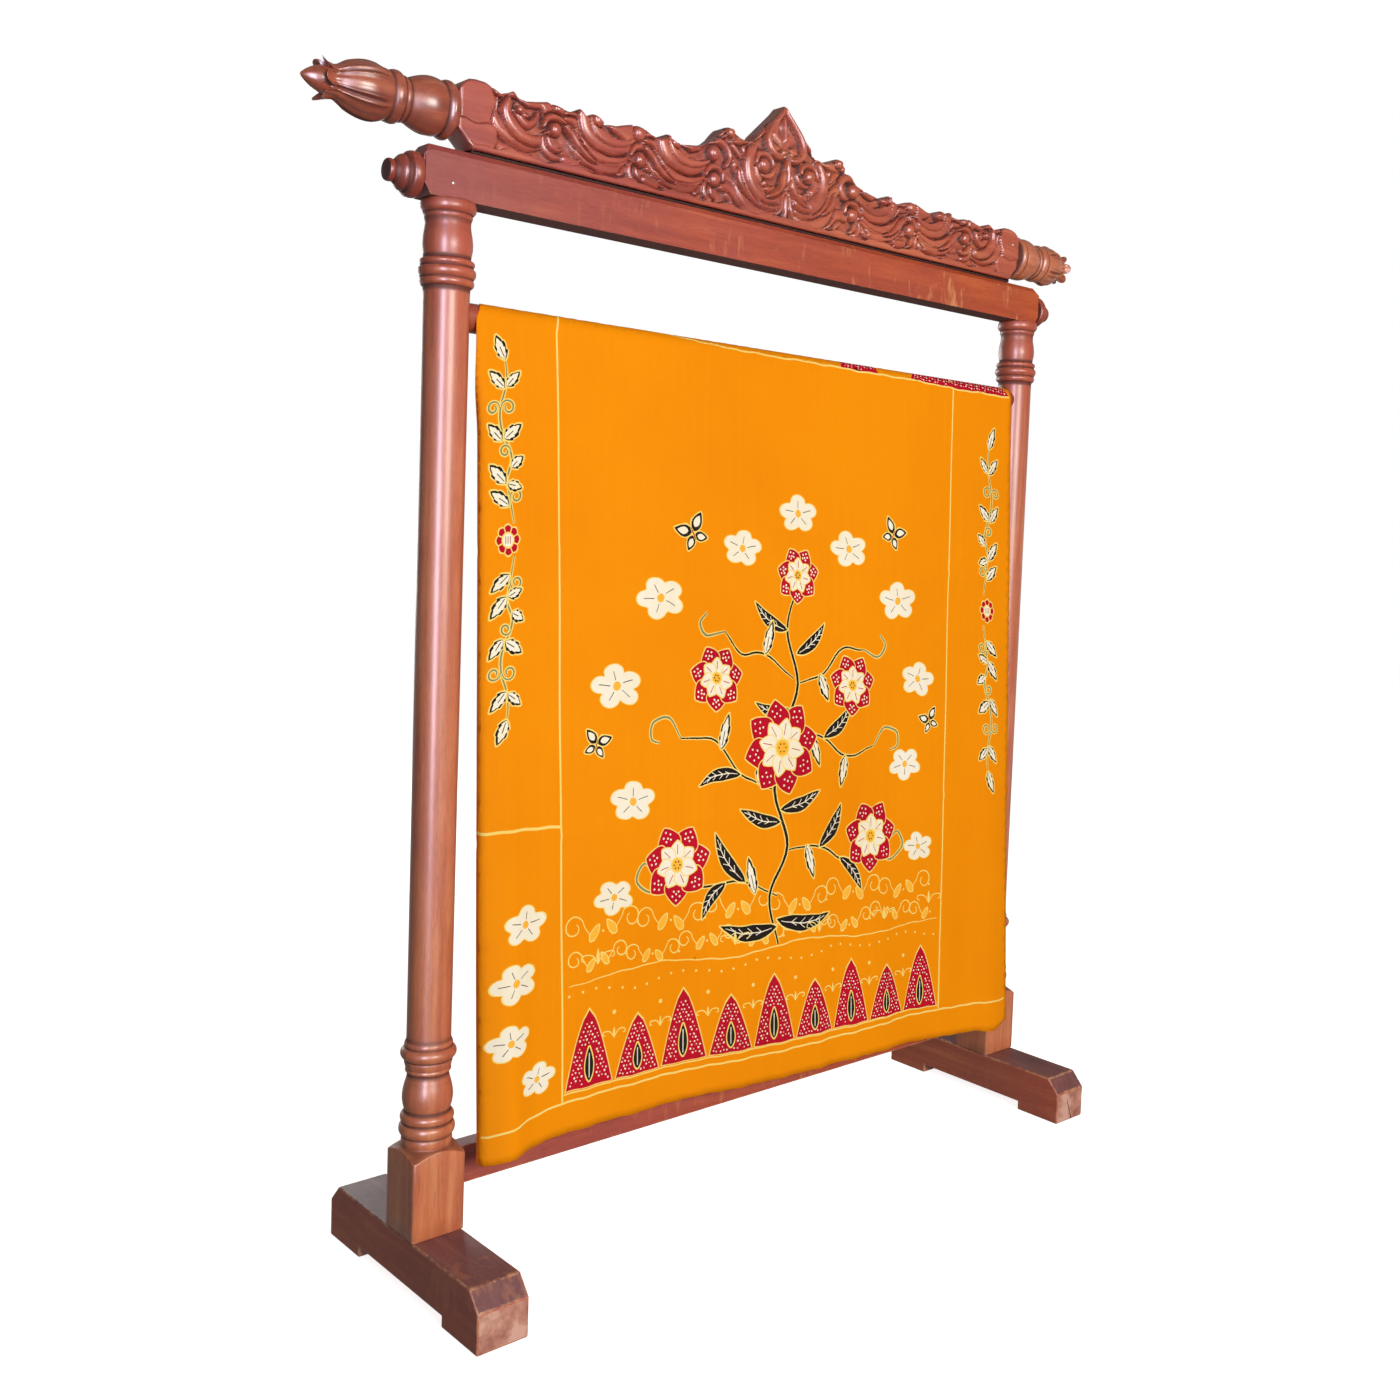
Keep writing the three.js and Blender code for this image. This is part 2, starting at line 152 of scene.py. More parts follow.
def mahogany(name, grain, colours, coat, gloss=0.42, blotch=0.5, drift=None, scuffed=0.0):
    """Mahogany sawn or turned, stained red-brown and varnished.

    The stain lies unevenly, the hollows are darkened with painted shade, and the pores show as short
    dark strokes along the grain. The varnish gives broad soft highlights, and it has rubbed off
    along the edges, where wear is painted. Drift tints a long piece from its left or lower end to the
    other, and scuffed scatters pale scratches across the grain.
    """
    material, tree, shader = new_material(name)
    place = object_place(tree)
    stretch = [ALONG_GRAIN if axis == grain else 1 for axis in "XYZ"]
    bands = noise(tree, scaled(tree, place, [FIGURE_ACROSS * s for s in stretch]), 1.0, 5.0, 0.62, 0.8)
    pores = noise(tree, scaled(tree, place, [PORES_ACROSS * s for s in stretch]), 1.0, 2.0, 0.5)
    stain = noise(tree, place, STAIN_CLOUDS, 3.0, 0.55)
    dark, middling, light, red = colours
    colour = colour_steps(tree, bands, [(0.30, dark), (0.50, middling), (0.72, light)])
    colour = mixed(tree, spread(tree, stain, 0.42, 0.66, 0.0, blotch), colour, linear(red))
    colour = mixed(tree, 1.0, colour, spread(tree, pores, 0.36, 0.50, 0.84, 1.0), "MULTIPLY")
    if drift:
        along = add(tree, "ShaderNodeSeparateXYZ", {"Vector": place}).outputs[grain]
        run = spread(tree, along, *DRIFT_SPANS[grain])
        if scuffed:
            # most scratches lie towards the right end
            scuffed = times(tree, run, 1.5 * scuffed)
        colour = mixed(tree, 1.0, colour, colour_steps(tree, run, drift), "MULTIPLY")
    if scuffed:
        strokes = noise(tree, scaled(tree, place, SCRATCHES), 1.0, 3.0, 0.6)
        scratch = spread(tree, times(tree, strokes, stain), 0.31, 0.40, 0.0, scuffed)
        colour = mixed(tree, scratch, colour, linear("#D98E5C"))
    # painted shade: each point's hollow value darkens the colour towards deep red-brown
    hollow = add(tree, "ShaderNodeAttribute", attribute_name="hollow").outputs["Fac"]
    colour = mixed(tree, hollow, colour, linear("#3A120B"))
    # bare wood where the varnish has rubbed off
    worn = add(tree, "ShaderNodeAttribute", attribute_name="wear").outputs["Fac"]
    rubbed = times(tree, worn, noise(tree, place, CHIPS, 4.0, 0.7))
    colour = mixed(tree, spread(tree, rubbed, 0.44, 0.60, 0.0, 0.8), colour, linear("#CF9A74"))
    # the varnish is dull where dirt sits in the hollows
    uneven = spread(tree, stain, 0.3, 0.7, gloss - 0.04, gloss + 0.06)
    dulled = add(tree, "ShaderNodeMath", {0: hollow, 1: 0.35, 2: uneven}, operation="MULTIPLY_ADD")
    soft = bumped(tree, noise(tree, place, BRUSH_WAVES, 3.0, 0.5), 0.30, 0.0022)
    set_inputs(tree, shader, {
        "Base Color": colour, "Roughness": dulled.outputs[0],
        "Normal": bumped(tree, pores, 0.22, 0.0004, soft),
        "Coat Weight": spread(tree, hollow, 0.0, 0.5, coat, 0.0), "Coat Roughness": 0.3})
    return material


TURNED_COLOURS = ("#B66144", "#CF7954", "#E0926A", "#BE654E")
DARK_TURNED_COLOURS = ("#823420", "#A0452F", "#BA5D40", "#903B33")
BUD_COLOURS = ("#8B422D", "#AC573C", "#C97450", "#9A4A40")
SAWN_COLOURS = ("#A7553E", "#BE6446", "#CE7A54", "#AF5749")
CARVED_COLOURS = ("#A44F39", "#C6664B", "#DC8560", "#B4584F")
SHADED_SAWN_COLOURS = ("#693A38", "#804E4B", "#98625A", "#744A50")

turned_mahogany = mahogany(
    "varnished mahogany, turned", "Z", TURNED_COLOURS, coat=0.6,
    drift=[(0.0, "#FFFDEC"), (0.4, "#FFFFFF"), (0.85, "#FCF2F4"), (0.93, "#F4D2D6"), (1.0, "#F2CCD2")])
turned_across = mahogany("varnished mahogany, turned across", "X", TURNED_COLOURS, coat=0.9, gloss=0.36)
turned_dark = mahogany("dark varnished mahogany, turned", "X", DARK_TURNED_COLOURS, coat=0.6, gloss=0.36)
carved_bud = mahogany("varnished mahogany, turned and carved", "X", BUD_COLOURS, coat=1.0, gloss=0.34)
# the beam's drift paints a lavender sky reflection on its left end, and tints it more orange towards the
# right
sawn_beam = mahogany(
    "varnished mahogany, sawn beam", "X", SAWN_COLOURS, coat=0.3, gloss=0.46, blotch=0.7,
    drift=[(0.0, "#DFCEF5"), (0.35, "#F5D5E0"), (1.0, "#FFD9A0")], scuffed=0.75)
sawn_feet = mahogany("varnished mahogany, sawn feet", "Y", SAWN_COLOURS, coat=0.2, gloss=0.5, scuffed=0.22)
# painted shade for the feet's upward faces, with scuff scratches
shaded_feet_tops = mahogany(
    "mahogany with painted shade, scuffed feet tops", "Y", SHADED_SAWN_COLOURS, coat=0.12, gloss=0.5, scuffed=0.22)
carved_mahogany = mahogany(
    "varnished mahogany, carved", "X", CARVED_COLOURS, coat=0.9, gloss=0.34, blotch=0.6,
    drift=[(0.0, "#EAD3E8"), (0.35, "#F4E2EC"), (0.5, "#FFFFFF"), (1.0, "#FFF4EC")])


def end_grain():
    """Mahogany end grain on the feet: thirsty, so the stain is patchy, dull and rubbed pale."""
    material, tree, shader = new_material("mahogany end grain, rubbed", {"Roughness": 0.6})
    place = object_place(tree)
    patches = noise(tree, place, 26.0, 5.0, 0.62)
    grit = noise(tree, place, 600.0, 2.0, 0.6)
    set_inputs(tree, shader, {
        "Base Color": colour_steps(tree, patches, [(0.34, "#9A5F50"), (0.48, "#BE8370"), (0.60, "#D8A896")]),
        "Normal": bumped(tree, grit, 0.3, 0.0006)})
    return material


def plain_finish(name, hex_colour, roughness, metallic=0.0, mottle=0.12):
    """A small plain finish, a little darker in places."""
    material, tree, shader = new_material(name, {"Roughness": roughness, "Metallic": metallic})
    cloud = noise(tree, object_place(tree), 180.0, 3.0, 0.5)
    shade = spread(tree, cloud, 0.3, 0.7, 1 - mottle, 1.0)
    set_inputs(tree, shader, {"Base Color": mixed(tree, 1.0, linear(hex_colour), shade, "MULTIPLY")})
    return material


end_grain_rubbed = end_grain()
# painted shade: a darker copy of the wood for the beam's downward face
underside = plain_finish("mahogany, unpolished underside with painted shade", "#7A4434", 0.85, mottle=0.3)
# a painted shadow: near-black wood for the strip under the crest
in_shadow = plain_finish("unpolished dark mahogany, painted shadow line", "#3C1E17", 0.85, mottle=0.3)
nail_steel = plain_finish("steel nail, dulled", "#C9BDB4", 0.45, 0.6)
crack_dark = plain_finish("drying crack, dark", "#3A1D16", 0.9)


# Cotton

WEAVE = 0.005655                  # weave as drawn, in metres; the real threads, 0.4 mm apart, would not show
WAVE_TURN = 2 * math.pi / 20      # length of one wave in a wave texture of scale 1


def batik_cotton(name, hex_colour, shade_colour, fade):
    """Plain-woven mercerised cotton, dyed over wax.

    The dye lies flat, with a faint cloudy shade and faint streaks along the cloth. The weave is
    faint and even, the cloth nearly without shine, and low creases run along its length.
    """
    material, tree, shader = new_material(name, {"Roughness": 0.8, "Specular IOR Level": 0.06})
    flat = add(tree, "ShaderNodeUVMap", uv_map="flat").outputs["UV"]
    clouds = spread(tree, noise(tree, flat, 3.2, 4.0, 0.6), 0.40, 0.68)
    dye = mixed(tree, clouds, linear(hex_colour), linear(shade_colour))
    streaks = noise(tree, scaled(tree, flat, (120.0, 3.0, 1.0)), 1.0, 3.0, 0.6)
    dye = mixed(tree, 1.0, dye, spread(tree, streaks, 0.3, 0.7, 1 - fade, 1.0), "MULTIPLY")
    warp, weft = [
        add(tree, "ShaderNodeTexWave", {"Vector": flat, "Scale": WAVE_TURN / WEAVE},
            wave_type="BANDS", bands_direction=axis).outputs["Fac"]
        for axis in "XY"]
    creases = noise(tree, scaled(tree, flat, (16.0, 2.2, 1.0)), 1.0, 4.0, 0.55)
    creased = bumped(tree, creases, 0.35, 0.004)
    set_inputs(tree, shader, {
        "Base Color": dye, "Normal": bumped(tree, times(tree, warp, weft), 0.25, 0.0002, creased)})
    return material


# the dyes by number, in the order of the cotton's finishes below; 0 is the orange ground
LINE, WHITE, RED, BLACK, STEM, GOLD = range(1, 7)
cotton = [
    batik_cotton("batik cotton, golden orange dye", "#F79400", "#F28E00", 0.025),
    batik_cotton("batik cotton, wax line, pale yellow", "#FCE07E", "#F9D76C", 0.03),
    batik_cotton("batik cotton, undyed white", "#FBF4E2", "#F6EACB", 0.03),
    batik_cotton("batik cotton, red dye", "#C4112C", "#B40E2A", 0.08),
    batik_cotton("batik cotton, black dye", "#231C1A", "#2E2521", 0.08),
    batik_cotton("batik cotton, grey-green dye", "#8F9168", "#7E8460", 0.08),
    batik_cotton("batik cotton, light gold dye", "#FFC044", "#FFB52E", 0.05),
]


# Meshes

def put_in_scene(name, data):
    """An object that shows a mesh, a lamp or a camera."""
    made = bpy.data.objects.new(name, data)
    bpy.context.scene.collection.objects.link(made)
    return made


def make_object(name, vertices, faces, materials, wear=None, hollow=None):
    """A mesh object from its points and faces, with wear and hollow as values at each point."""
    mesh = bpy.data.meshes.new(name)
    mesh.from_pydata([tuple(v) for v in vertices], [], [tuple(f) for f in faces])
    for material in materials:
        mesh.materials.append(material)
    for label, amounts in (("wear", wear), ("hollow", hollow)):
        if amounts is not None:
            values = mesh.attributes.new(label, "FLOAT", "POINT").data
            values.foreach_set("value", np.clip(amounts, 0, 1).astype(np.float32).ravel())
    mesh.polygons.foreach_set("use_smooth", [True] * len(mesh.polygons))
    mesh.update()
    return put_in_scene(name, mesh)


def stands_for(piece, node):
    """The piece rides on the one body and takes the node's place."""
    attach(piece, "root")
    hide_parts(node)


def middle(node):
    low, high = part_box(node)
    return [(a + b) / 2 for a, b in zip(low, high)]


def inner_end(node, side):
    """Where a piece on the left (-1) or right (1) end of another starts."""
    low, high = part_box(node)
    return high[0] if side < 0 else low[0]


def softened(rows):
    """A turned profile with its corners cut round, as sandpaper leaves them."""
    rows = [np.array(row, dtype=float) for row in rows]
    cut = [rows[0]]
    for a, b in zip(rows, rows[1:]):
        cut += [a * 0.75 + b * 0.25, a * 0.25 + b * 0.75]
    return cut + [rows[-1]]


# reach, in millimetres, of the rows that set a turned hollow's painted shade
SHADE_REACH = 7.0


def hollow_shade(rows):
    """How deep each row of a turned profile lies between its neighbours, as painted shade for its hollows.
    """
    places, radii = np.array(rows)[:, 0], np.array(rows)[:, 1]
    around = np.array([radii[abs(places - place) < SHADE_REACH].mean() for place in places])
    return np.clip((around - radii) / 1.6, 0, 0.8)


def ring_mesh(name, rings, materials, wear=None, hollow=None):
    """A closed round mesh from rings of points, all of one count, with a face over each end."""
    rings = np.asarray(rings)
    count, around, _ = rings.shape
    points = rings.reshape(-1, 3)
    faces = []
    for i in range(count - 1):
        for j in range(around):
            k = (j + 1) % around
            faces.append((i * around + j, i * around + k, (i + 1) * around + k, (i + 1) * around + j))
    faces.append(tuple(range(around))[::-1])
    faces.append(tuple(range((count - 1) * around, count * around)))
    made = make_object(name, points, faces, materials, wear, hollow)
    tidy = bmesh.new()
    tidy.from_mesh(made.data)
    bmesh.ops.recalc_face_normals(tidy, faces=tidy.faces)
    tidy.to_mesh(made.data)
    tidy.free()
    return made


# Posts and knobs

POST_BASE = 80.3
BLOCK_TOP = 199.0
BLOCK_HALF = 39.0
BLOCK_ROUND = 30                  # the higher, the sharper the block's upright edges
CORNER_SLOPE = 14 / 24.15         # fall of the block's turned shoulder towards its corners
NECK = 36.5                       # radius at the top of the shoulder
# wear and painted shade of the block's rows, from its foot to the top of its shoulder
BLOCK_WEAR = [0.55, 0.75, 0.1, 0.0, 0.1, 0.7, 0.95, 0.6, 0.1]
BLOCK_SHADE = [0.0, 0.0, 0.0, 0.0, 0.0, 0.0, 0.0, 0.35, 0.6]

# the turned column from its foot to the beam: height, radius
COLUMN_ROWS = [
    (201, 33.2), (206, 34.6), (212, 34.4), (214.5, 32.6), (215.5, 34.8), (219, 37.4), (224, 38.2),
    (229, 37.2), (231.5, 34.6), (233, 33.0), (235, 35.0), (238.5, 36.6), (243, 36.2), (246, 33.6),
    (248, 31.0), (251, 31.2),
    (258, 33.4), (268, 34.6), (280, 33.2), (292, 29.8), (299, 28.0), (302, 28.2), (303.5, 30.6), (306, 31.2),
    (308, 30.0), (310, 30.8), (318, 33.0), (320, 31.4), (322.5, 35.0), (327, 37.8), (332, 37.8), (336, 35.2),
    (338.5, 31.6), (341, 32.8), (344, 32.4), (347, 30.2), (355, 30.0), (365, 30.0),
    (860, 30.4), (1350, 30.8), (1362, 30.9), (1367, 31.2),
    (1368.5, 34.4), (1371.5, 36.2), (1375.5, 36.0), (1378, 34.4), (1379.5, 35.6), (1383, 38.0),
    (1387.5, 38.6), (1391, 37.2), (1393, 34.6), (1395, 34.8), (1397.5, 36.6), (1400.5, 36.4),
    (1402.5, 34.4), (1404, 31.4), (1407, 31.2), (1420, 33.8), (1433, 32.8), (1446, 30.2), (1455, 30.2),
    (1458, 32.0), (1461, 32.4), (1463, 31.4), (1464.5, 34.2), (1468, 36.8), (1473, 37.2), (1479.7, 35.4),
]


def make_post(name):
    """A square block with a turned shoulder, and above it the turned column."""
    centre = middle(name)
    angles = np.linspace(0, 2 * math.pi, 96, endpoint=False)
    cosine, sine = np.cos(angles), np.sin(angles)
    square = BLOCK_HALF / (abs(cosine) ** BLOCK_ROUND + abs(sine) ** BLOCK_ROUND) ** (1 / BLOCK_ROUND)
    shoulder = BLOCK_TOP - CORNER_SLOPE * (square - BLOCK_HALF)
    level = np.zeros_like(angles)
    # rows of radius and height all round: the block, its shoulder, the column
    rows = [(square - 1.2, POST_BASE + level), (square, POST_BASE + 1.2 + level)]
    rows += [(square, POST_BASE + (shoulder - POST_BASE) * share) for share in (0.25, 0.5, 0.75)]
    rows += [(square, shoulder - 2.2), (square - 0.5, shoulder - 0.8), (square - 1.8, shoulder + 0.1)]
    rows += [(NECK + level, BLOCK_TOP + 0.8 + level)]
    column = softened(COLUMN_ROWS)
    rows += [(radius + level, height + level) for height, radius in column]
    rings = [np.stack([r * cosine * MM + centre[0], r * sine * MM + centre[1], h * MM], axis=1)
             for r, h in rows]
    # the block's upright edges are worn more than its sides
    edge = np.clip((square - 50.0) / 5.0, 0, 1)
    wear = [worn + 0.6 * edge for worn in BLOCK_WEAR]
    wear += [(0.45 if radius > 36.8 else 0.0) + level for _, radius in column]
    # painted shade where the shoulder meets the column, and in the column's hollows
    hollow = np.repeat(BLOCK_SHADE + list(hollow_shade(column)), len(angles))
    made = ring_mesh(name + "_turned", rings, [turned_mahogany], np.array(wear), hollow)
    stands_for(made, name)


# a knob from the beam's end outwards: distance, radius
KNOB_ROWS = [
    (0.2, 26), (0.6, 28.2), (2, 29.7), (5, 30.2), (9, 30.2), (13, 29.2), (15, 27.2), (16, 25),
    (18, 23.4), (20, 23.4), (22.5, 23.6), (26, 20.6),
    (30, 15.4), (33, 13.4), (34.5, 14.2), (36.5, 14.9), (39.5, 14.9), (41.5, 13.9), (42, 12.6),
]


def make_knob(name, side):
    """A turned knob, its narrow waist worn."""
    start = inner_end(name, side)
    centre = middle(name)
    angles = np.linspace(0, 2 * math.pi, 64, endpoint=False)
    rings = []
    wear = []
    rows = softened(KNOB_ROWS)
    for along, radius in rows:
        rings.append(np.stack([
            start + side * along * MM + 0 * angles,
            centre[1] + radius * MM * np.cos(angles),
            centre[2] + radius * MM * np.sin(angles)], axis=1))
        wear.append([0.5 if 12 < radius < 15 else 0.15] * len(angles))
    # painted shade in the knob's hollows
    hollow = np.repeat(hollow_shade(rows), len(angles))
    made = ring_mesh(name + "_turned", rings, [turned_dark], wear, hollow)
    stands_for(made, name)


# Finials

# distance from the crest's end, radius, share of the radius that the petals shape
BUD_ROWS = [
    (0.2, 33, 0), (2, 36.4, 0), (5, 38.3, 0), (8, 39, 0), (11, 38.3, 0), (14, 36.0, 0), (16, 34.4, 0),
    (18, 35.4, 0), (24, 37.6, 0), (35, 38.4, 0), (46, 36, 0), (58, 31, 0), (64, 27.9, 0), (66, 27.8, 0),
    (67.5, 29.4, 0), (69.5, 30.0, 0), (72, 29.4, 0), (73.5, 28.6, 0), (75, 31.2, 0), (77, 33.4, 0),
    (81, 34.4, 0), (85, 33.8, 0), (88, 32.4, 0), (90, 31.2, 0), (94, 32.6, 0.03), (98, 34.2, 0.05),
    (109, 36.8, 0.09), (119, 37.5, 0.11), (131, 35.8, 0.14), (143, 31.8, 0.16), (153, 26.8, 0.18),
    (160, 23.2, 0.22), (165, 22.2, 0.25), (170, 22.9, 0.28), (175, 25.2, 0.32), (180, 28.8, 0.38),
    (179.4, 27.8, 0.38), (177, 24.2, 0.30), (172, 19.2, 0.12), (168, 17.0, 0),
]
# the cone inside the petals; the right one has lost its tip
CORE_ROWS = {
    "finial_left": [
        (172, 16.9, 0), (178, 16.4, 0), (186, 13.6, 0), (194, 8.8, 0), (200, 3.8, 0), (202, 0.8, 0)],
    "finial_right": [(170, 13.6, 0), (175, 11.6, 0), (178, 6, 0)],
}
PETALS = 6
FINIAL_HEIGHT = 1597
VASE_LENGTH = 88
# share of its full length that the vase has, then the bud, how far the tips stand apart, the finish
BUD_SHAPES = {"finial_left": (1.0, 1.0, 17, carved_bud), "finial_right": (0.94, 0.8, 7, turned_across)}


def make_finial(name, side):
    """A turned vase and rings, and a bud of carved petals round a cone."""
    vase_share, bud_share, apart, finish = BUD_SHAPES[name]
    start = inner_end(name, side)
    height = FINIAL_HEIGHT * MM
    angles = np.linspace(0, 2 * math.pi, 144, endpoint=False)
    rib = abs(np.sin(angles * PETALS / 2))
    rows = softened(BUD_ROWS + CORE_ROWS[name])
    rings = []
    wear = []
    hollow = []
    for (along, radius, share), turned_shade in zip(rows, hollow_shade(rows)):
        shaped = radius * (1 - share * (1 - rib ** 0.7))
        # a raised lip beside each groove, and a sunk field between the two lips of a petal
        lip = np.exp(-((rib - 0.40) / 0.11) ** 2)
        field = np.clip((rib - 0.55) / 0.3, 0, 1)
        in_bud = float(np.clip((along - 92) / 14, 0, 1) * np.clip((182 - along) / 10, 0, 1))
        outside = 1.0 if share > 0 else 0.0
        shaped = shaped + in_bud * outside * (2.0 * lip - 2.4 * field)
        tip = outside * np.clip((along - 146) / 34, 0, 1) * apart * (1 - rib) ** 1.3
        where = min(along, VASE_LENGTH) * vase_share + max(along - VASE_LENGTH, 0) * bud_share - tip
        rings.append(np.stack([
            start + side * where * MM,
            shaped * MM * np.sin(angles),
            height + shaped * MM * np.cos(angles)], axis=1))
        wear.append(0.55 * lip * in_bud + 0.35 * (radius > 36) + 0.3 * (share > 0.25))
        # painted shade in the grooves between the petals and beside their lips, and in the turned hollows
        # below the bud
        between = in_bud * np.exp(-(rib / 0.2) ** 2)
        beside_lip = in_bud * outside * np.exp(-((rib - 0.58) / 0.09) ** 2)
        hollow.append(np.maximum(turned_shade * (along < 160), 0.85 * between + 0.45 * beside_lip))
    made = ring_mesh(name + "_turned", rings, [finish], wear, hollow)
    stands_for(made, name)


# Sawn pieces

FADE = 5.0                        # how far the rubbed varnish reaches in from an edge


def along_x(y, z, x):
    return (x * MM, y * MM, z * MM)


def sawn_mesh(name, work, materials, rounding, sharp_angle=0.2, worn=1.0, fade=FADE, finish_of=None):
    """Rounds the edges of a sawn piece, worn along them, and gives each face its finish."""
    bmesh.ops.recalc_face_normals(work, faces=work.faces)
    sharp = [edge for edge in work.edges if edge.calc_face_angle(0) > sharp_angle]
    result = bmesh.ops.bevel(
        work, geom=sharp, offset=rounding * MM, segments=3, profile=0.5, affect="EDGES",
        clamp_overlap=True)
    rounded = set(result["faces"])
    layer = work.verts.layers.float.new("wear")
    for vertex in work.verts:
        vertex[layer] = 0.0
    for face in rounded:
        for vertex in face.verts:
            vertex[layer] = worn
    if finish_of:
        for face in work.faces:
            face.material_index = finish_of(face.normal, face in rounded)
    # the wear fades over a few millimetres beside each edge
    flat_faces = [face for face in work.faces if face not in rounded]
    before = set(work.verts)
    bmesh.ops.inset_individual(work, faces=flat_faces, thickness=fade * MM, depth=0)
    for vertex in work.verts:
        if vertex not in before:
            vertex[layer] = 0.0
    for face in work.faces:
        face.smooth = True
    mesh = bpy.data.meshes.new(name)
    work.to_mesh(mesh)
    work.free()
    for material in materials:
        mesh.materials.append(material)
    made = put_in_scene(name, mesh)
    made.modifiers.new("keep flat faces flat", "WEIGHTED_NORMAL").keep_sharp = True
    return made


def make_board(name, outline, ends, materials, rounding, finish_of=None):
    """A board along X: its outline, as (y, z) places, pulled from one end to the other."""
    work = bmesh.new()
    first, last = [[work.verts.new(along_x(y, z, x)) for y, z in outline] for x in ends]
    work.faces.new(first)
    work.faces.new(last[::-1])
    for i in range(len(outline)):
        k = (i + 1) % len(outline)
        work.faces.new((first[k], first[i], last[i], last[k]))
    return sawn_mesh(name, work, materials, rounding, finish_of=finish_of)


def ends_of(node):
    low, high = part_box(node)
    return low[0] / MM, high[0] / MM


FOOT_HALF = 210.0
FOOT_HEIGHT = 80.0
PAD_LENGTH = 91.5
FOOT_OUTLINE = [
    (-FOOT_HALF, 0.2), (-FOOT_HALF + PAD_LENGTH, 0.2), (-FOOT_HALF + PAD_LENGTH, 15.4),
    (FOOT_HALF - PAD_LENGTH, 15.4), (FOOT_HALF - PAD_LENGTH, 0.2), (FOOT_HALF, 0.2),
    (FOOT_HALF, FOOT_HEIGHT - 25), (FOOT_HALF - 23, FOOT_HEIGHT),
    (-FOOT_HALF + 23, FOOT_HEIGHT), (-FOOT_HALF, FOOT_HEIGHT - 25),
]


def make_foot(name):
    def finish_of(normal, rounded):
        """Painted shade with scuffs on the top faces, and end grain on the two ends."""
        if normal.z > 0.5:
            return 2
        return 1 if abs(normal.y) > 0.9 and not rounded else 0

    made = make_board(
        name + "_sawn", FOOT_OUTLINE, ends_of(name), [sawn_feet, end_grain_rubbed, shaded_feet_tops], 2.4,
        finish_of)
    stands_for(made, name)


STRETCHER_OUTLINE = [(-15, 133), (15, 133), (15, 186), (-15, 186)]


def make_stretcher():
    made = make_board("stretcher_sawn", STRETCHER_OUTLINE, ends_of("stretcher"), [sawn_beam], 1.8)
    stands_for(made, "stretcher")


BEAM_HALF, BEAM_BOTTOM, BEAM_TOP = 22.5, 1480.0, 1546.5
BEAM_EDGE = 9.0                   # width of the planed upper edges


def make_beam():
    """The beam, cut back at every edge of its ends, with its two upper edges planed off."""
    x0, x1 = ends_of("beam")
    # along the beam: place, how far the sides are cut back there, and the bottom and the top
    sections = [(x0, 2, 16, 16), (x0 + 2, 0, 13, 13), (x0 + 10, 0, 0, 0),
                (x1 - 10, 0, 0, 0), (x1 - 2, 0, 13, 13), (x1, 2, 16, 16)]
    work = bmesh.new()
    rings = []
    for x, inset, lower, upper in sections:
        y = BEAM_HALF - inset
        low = BEAM_BOTTOM + lower
        high = BEAM_TOP - upper
        shoulder = min(high, BEAM_TOP - BEAM_EDGE)
        slope = max(0.5, BEAM_EDGE - upper)
        outline = [(-y, low), (y, low), (y, shoulder), (y - slope, high), (-y + slope, high), (-y, shoulder)]
        rings.append([work.verts.new(along_x(side, z, x)) for side, z in outline])
    for a, b in zip(rings, rings[1:]):
        for i in range(6):
            k = (i + 1) % 6
            work.faces.new((a[i], a[k], b[k], b[i]))
    work.faces.new(rings[0][::-1])
    work.faces.new(rings[-1])
    # the beam's downward face takes the painted shade
    made = sawn_mesh(
        "beam_sawn", work, [sawn_beam, underside], 1.4, 0.3, 0.8, FADE * 0.6,
        lambda normal, rounded: 1 if normal.z < -0.9 else 0)
    stands_for(made, "beam")


# Carved crest

CREST_HALF = 583.0
CREST_BOTTOM = 1546.8
# the fillet is a dark strip under the carved board, a painted shadow line
FILLET = 4.0                      # height of the dark line under the carved board
FILLET_OUTLINE = [(-15.0, 0), (13.0, 0), (13.0, 7), (-15.0, 7)]     # y and height; its top is hidden
FILLET_SHORT = (28, 13)           # how far it ends short of the crest's left and right ends
CREST_CUT = 25.0                  # the lower corners are cut off this far in
CREST_FRONT = -30.0
CREST_BACK = 20.0
SHOULDER_Z = 1640.0               # from here up to the peak the board grows thinner
PEAK_Z = 1738.0
RELIEF = 15.0                     # from the sunk ground to the highest carving
CARVING_COLUMNS, CARVING_ROWS = 720, 92

# the crest's upper edge from its middle to its end: distance from the middle, height
CREST_EDGE = [
    (0, 1738), (4, 1733), (9, 1727), (30, 1706), (44, 1692), (54, 1682), (60, 1671), (68, 1668), (84, 1664),
    (98, 1667), (106, 1673), (113, 1677.5), (121, 1677), (128, 1670), (136, 1660), (147, 1651), (160, 1643),
    (174, 1637), (190, 1634), (204, 1632), (222, 1631), (230, 1636), (236, 1641), (241, 1634), (252, 1631),
    (265, 1632.5), (278, 1638), (290, 1640), (303, 1639), (314, 1636), (330, 1631), (346, 1630), (358, 1634),
    (367, 1640), (374, 1637), (380, 1633), (386, 1637), (391, 1642), (396, 1635), (410, 1633), (428, 1636),
    (445, 1638), (462, 1634), (478, 1631), (490, 1633), (498, 1640), (506, 1636), (517, 1632), (530, 1637),
    (542, 1641), (556, 1641.5), (566, 1640), (574, 1635), (580, 1628), (583, 1618),
]


def spline(points, steps):
    """A smooth line through the points."""
    points = np.asarray(points, dtype=float)
    ends = np.vstack([2 * points[0] - points[1], points, 2 * points[-1] - points[-2]])
    share = np.linspace(0, 1, steps, endpoint=False)[:, None]
    runs = []
    for a, b, c, d in zip(ends, ends[1:], ends[2:], ends[3:]):
        runs.append(0.5 * (2 * b + (c - a) * share + (2 * a - 5 * b + 4 * c - d) * share ** 2
                           + (3 * b - a - 3 * c + d) * share ** 3))
    return np.vstack(runs + [points[-1:]])


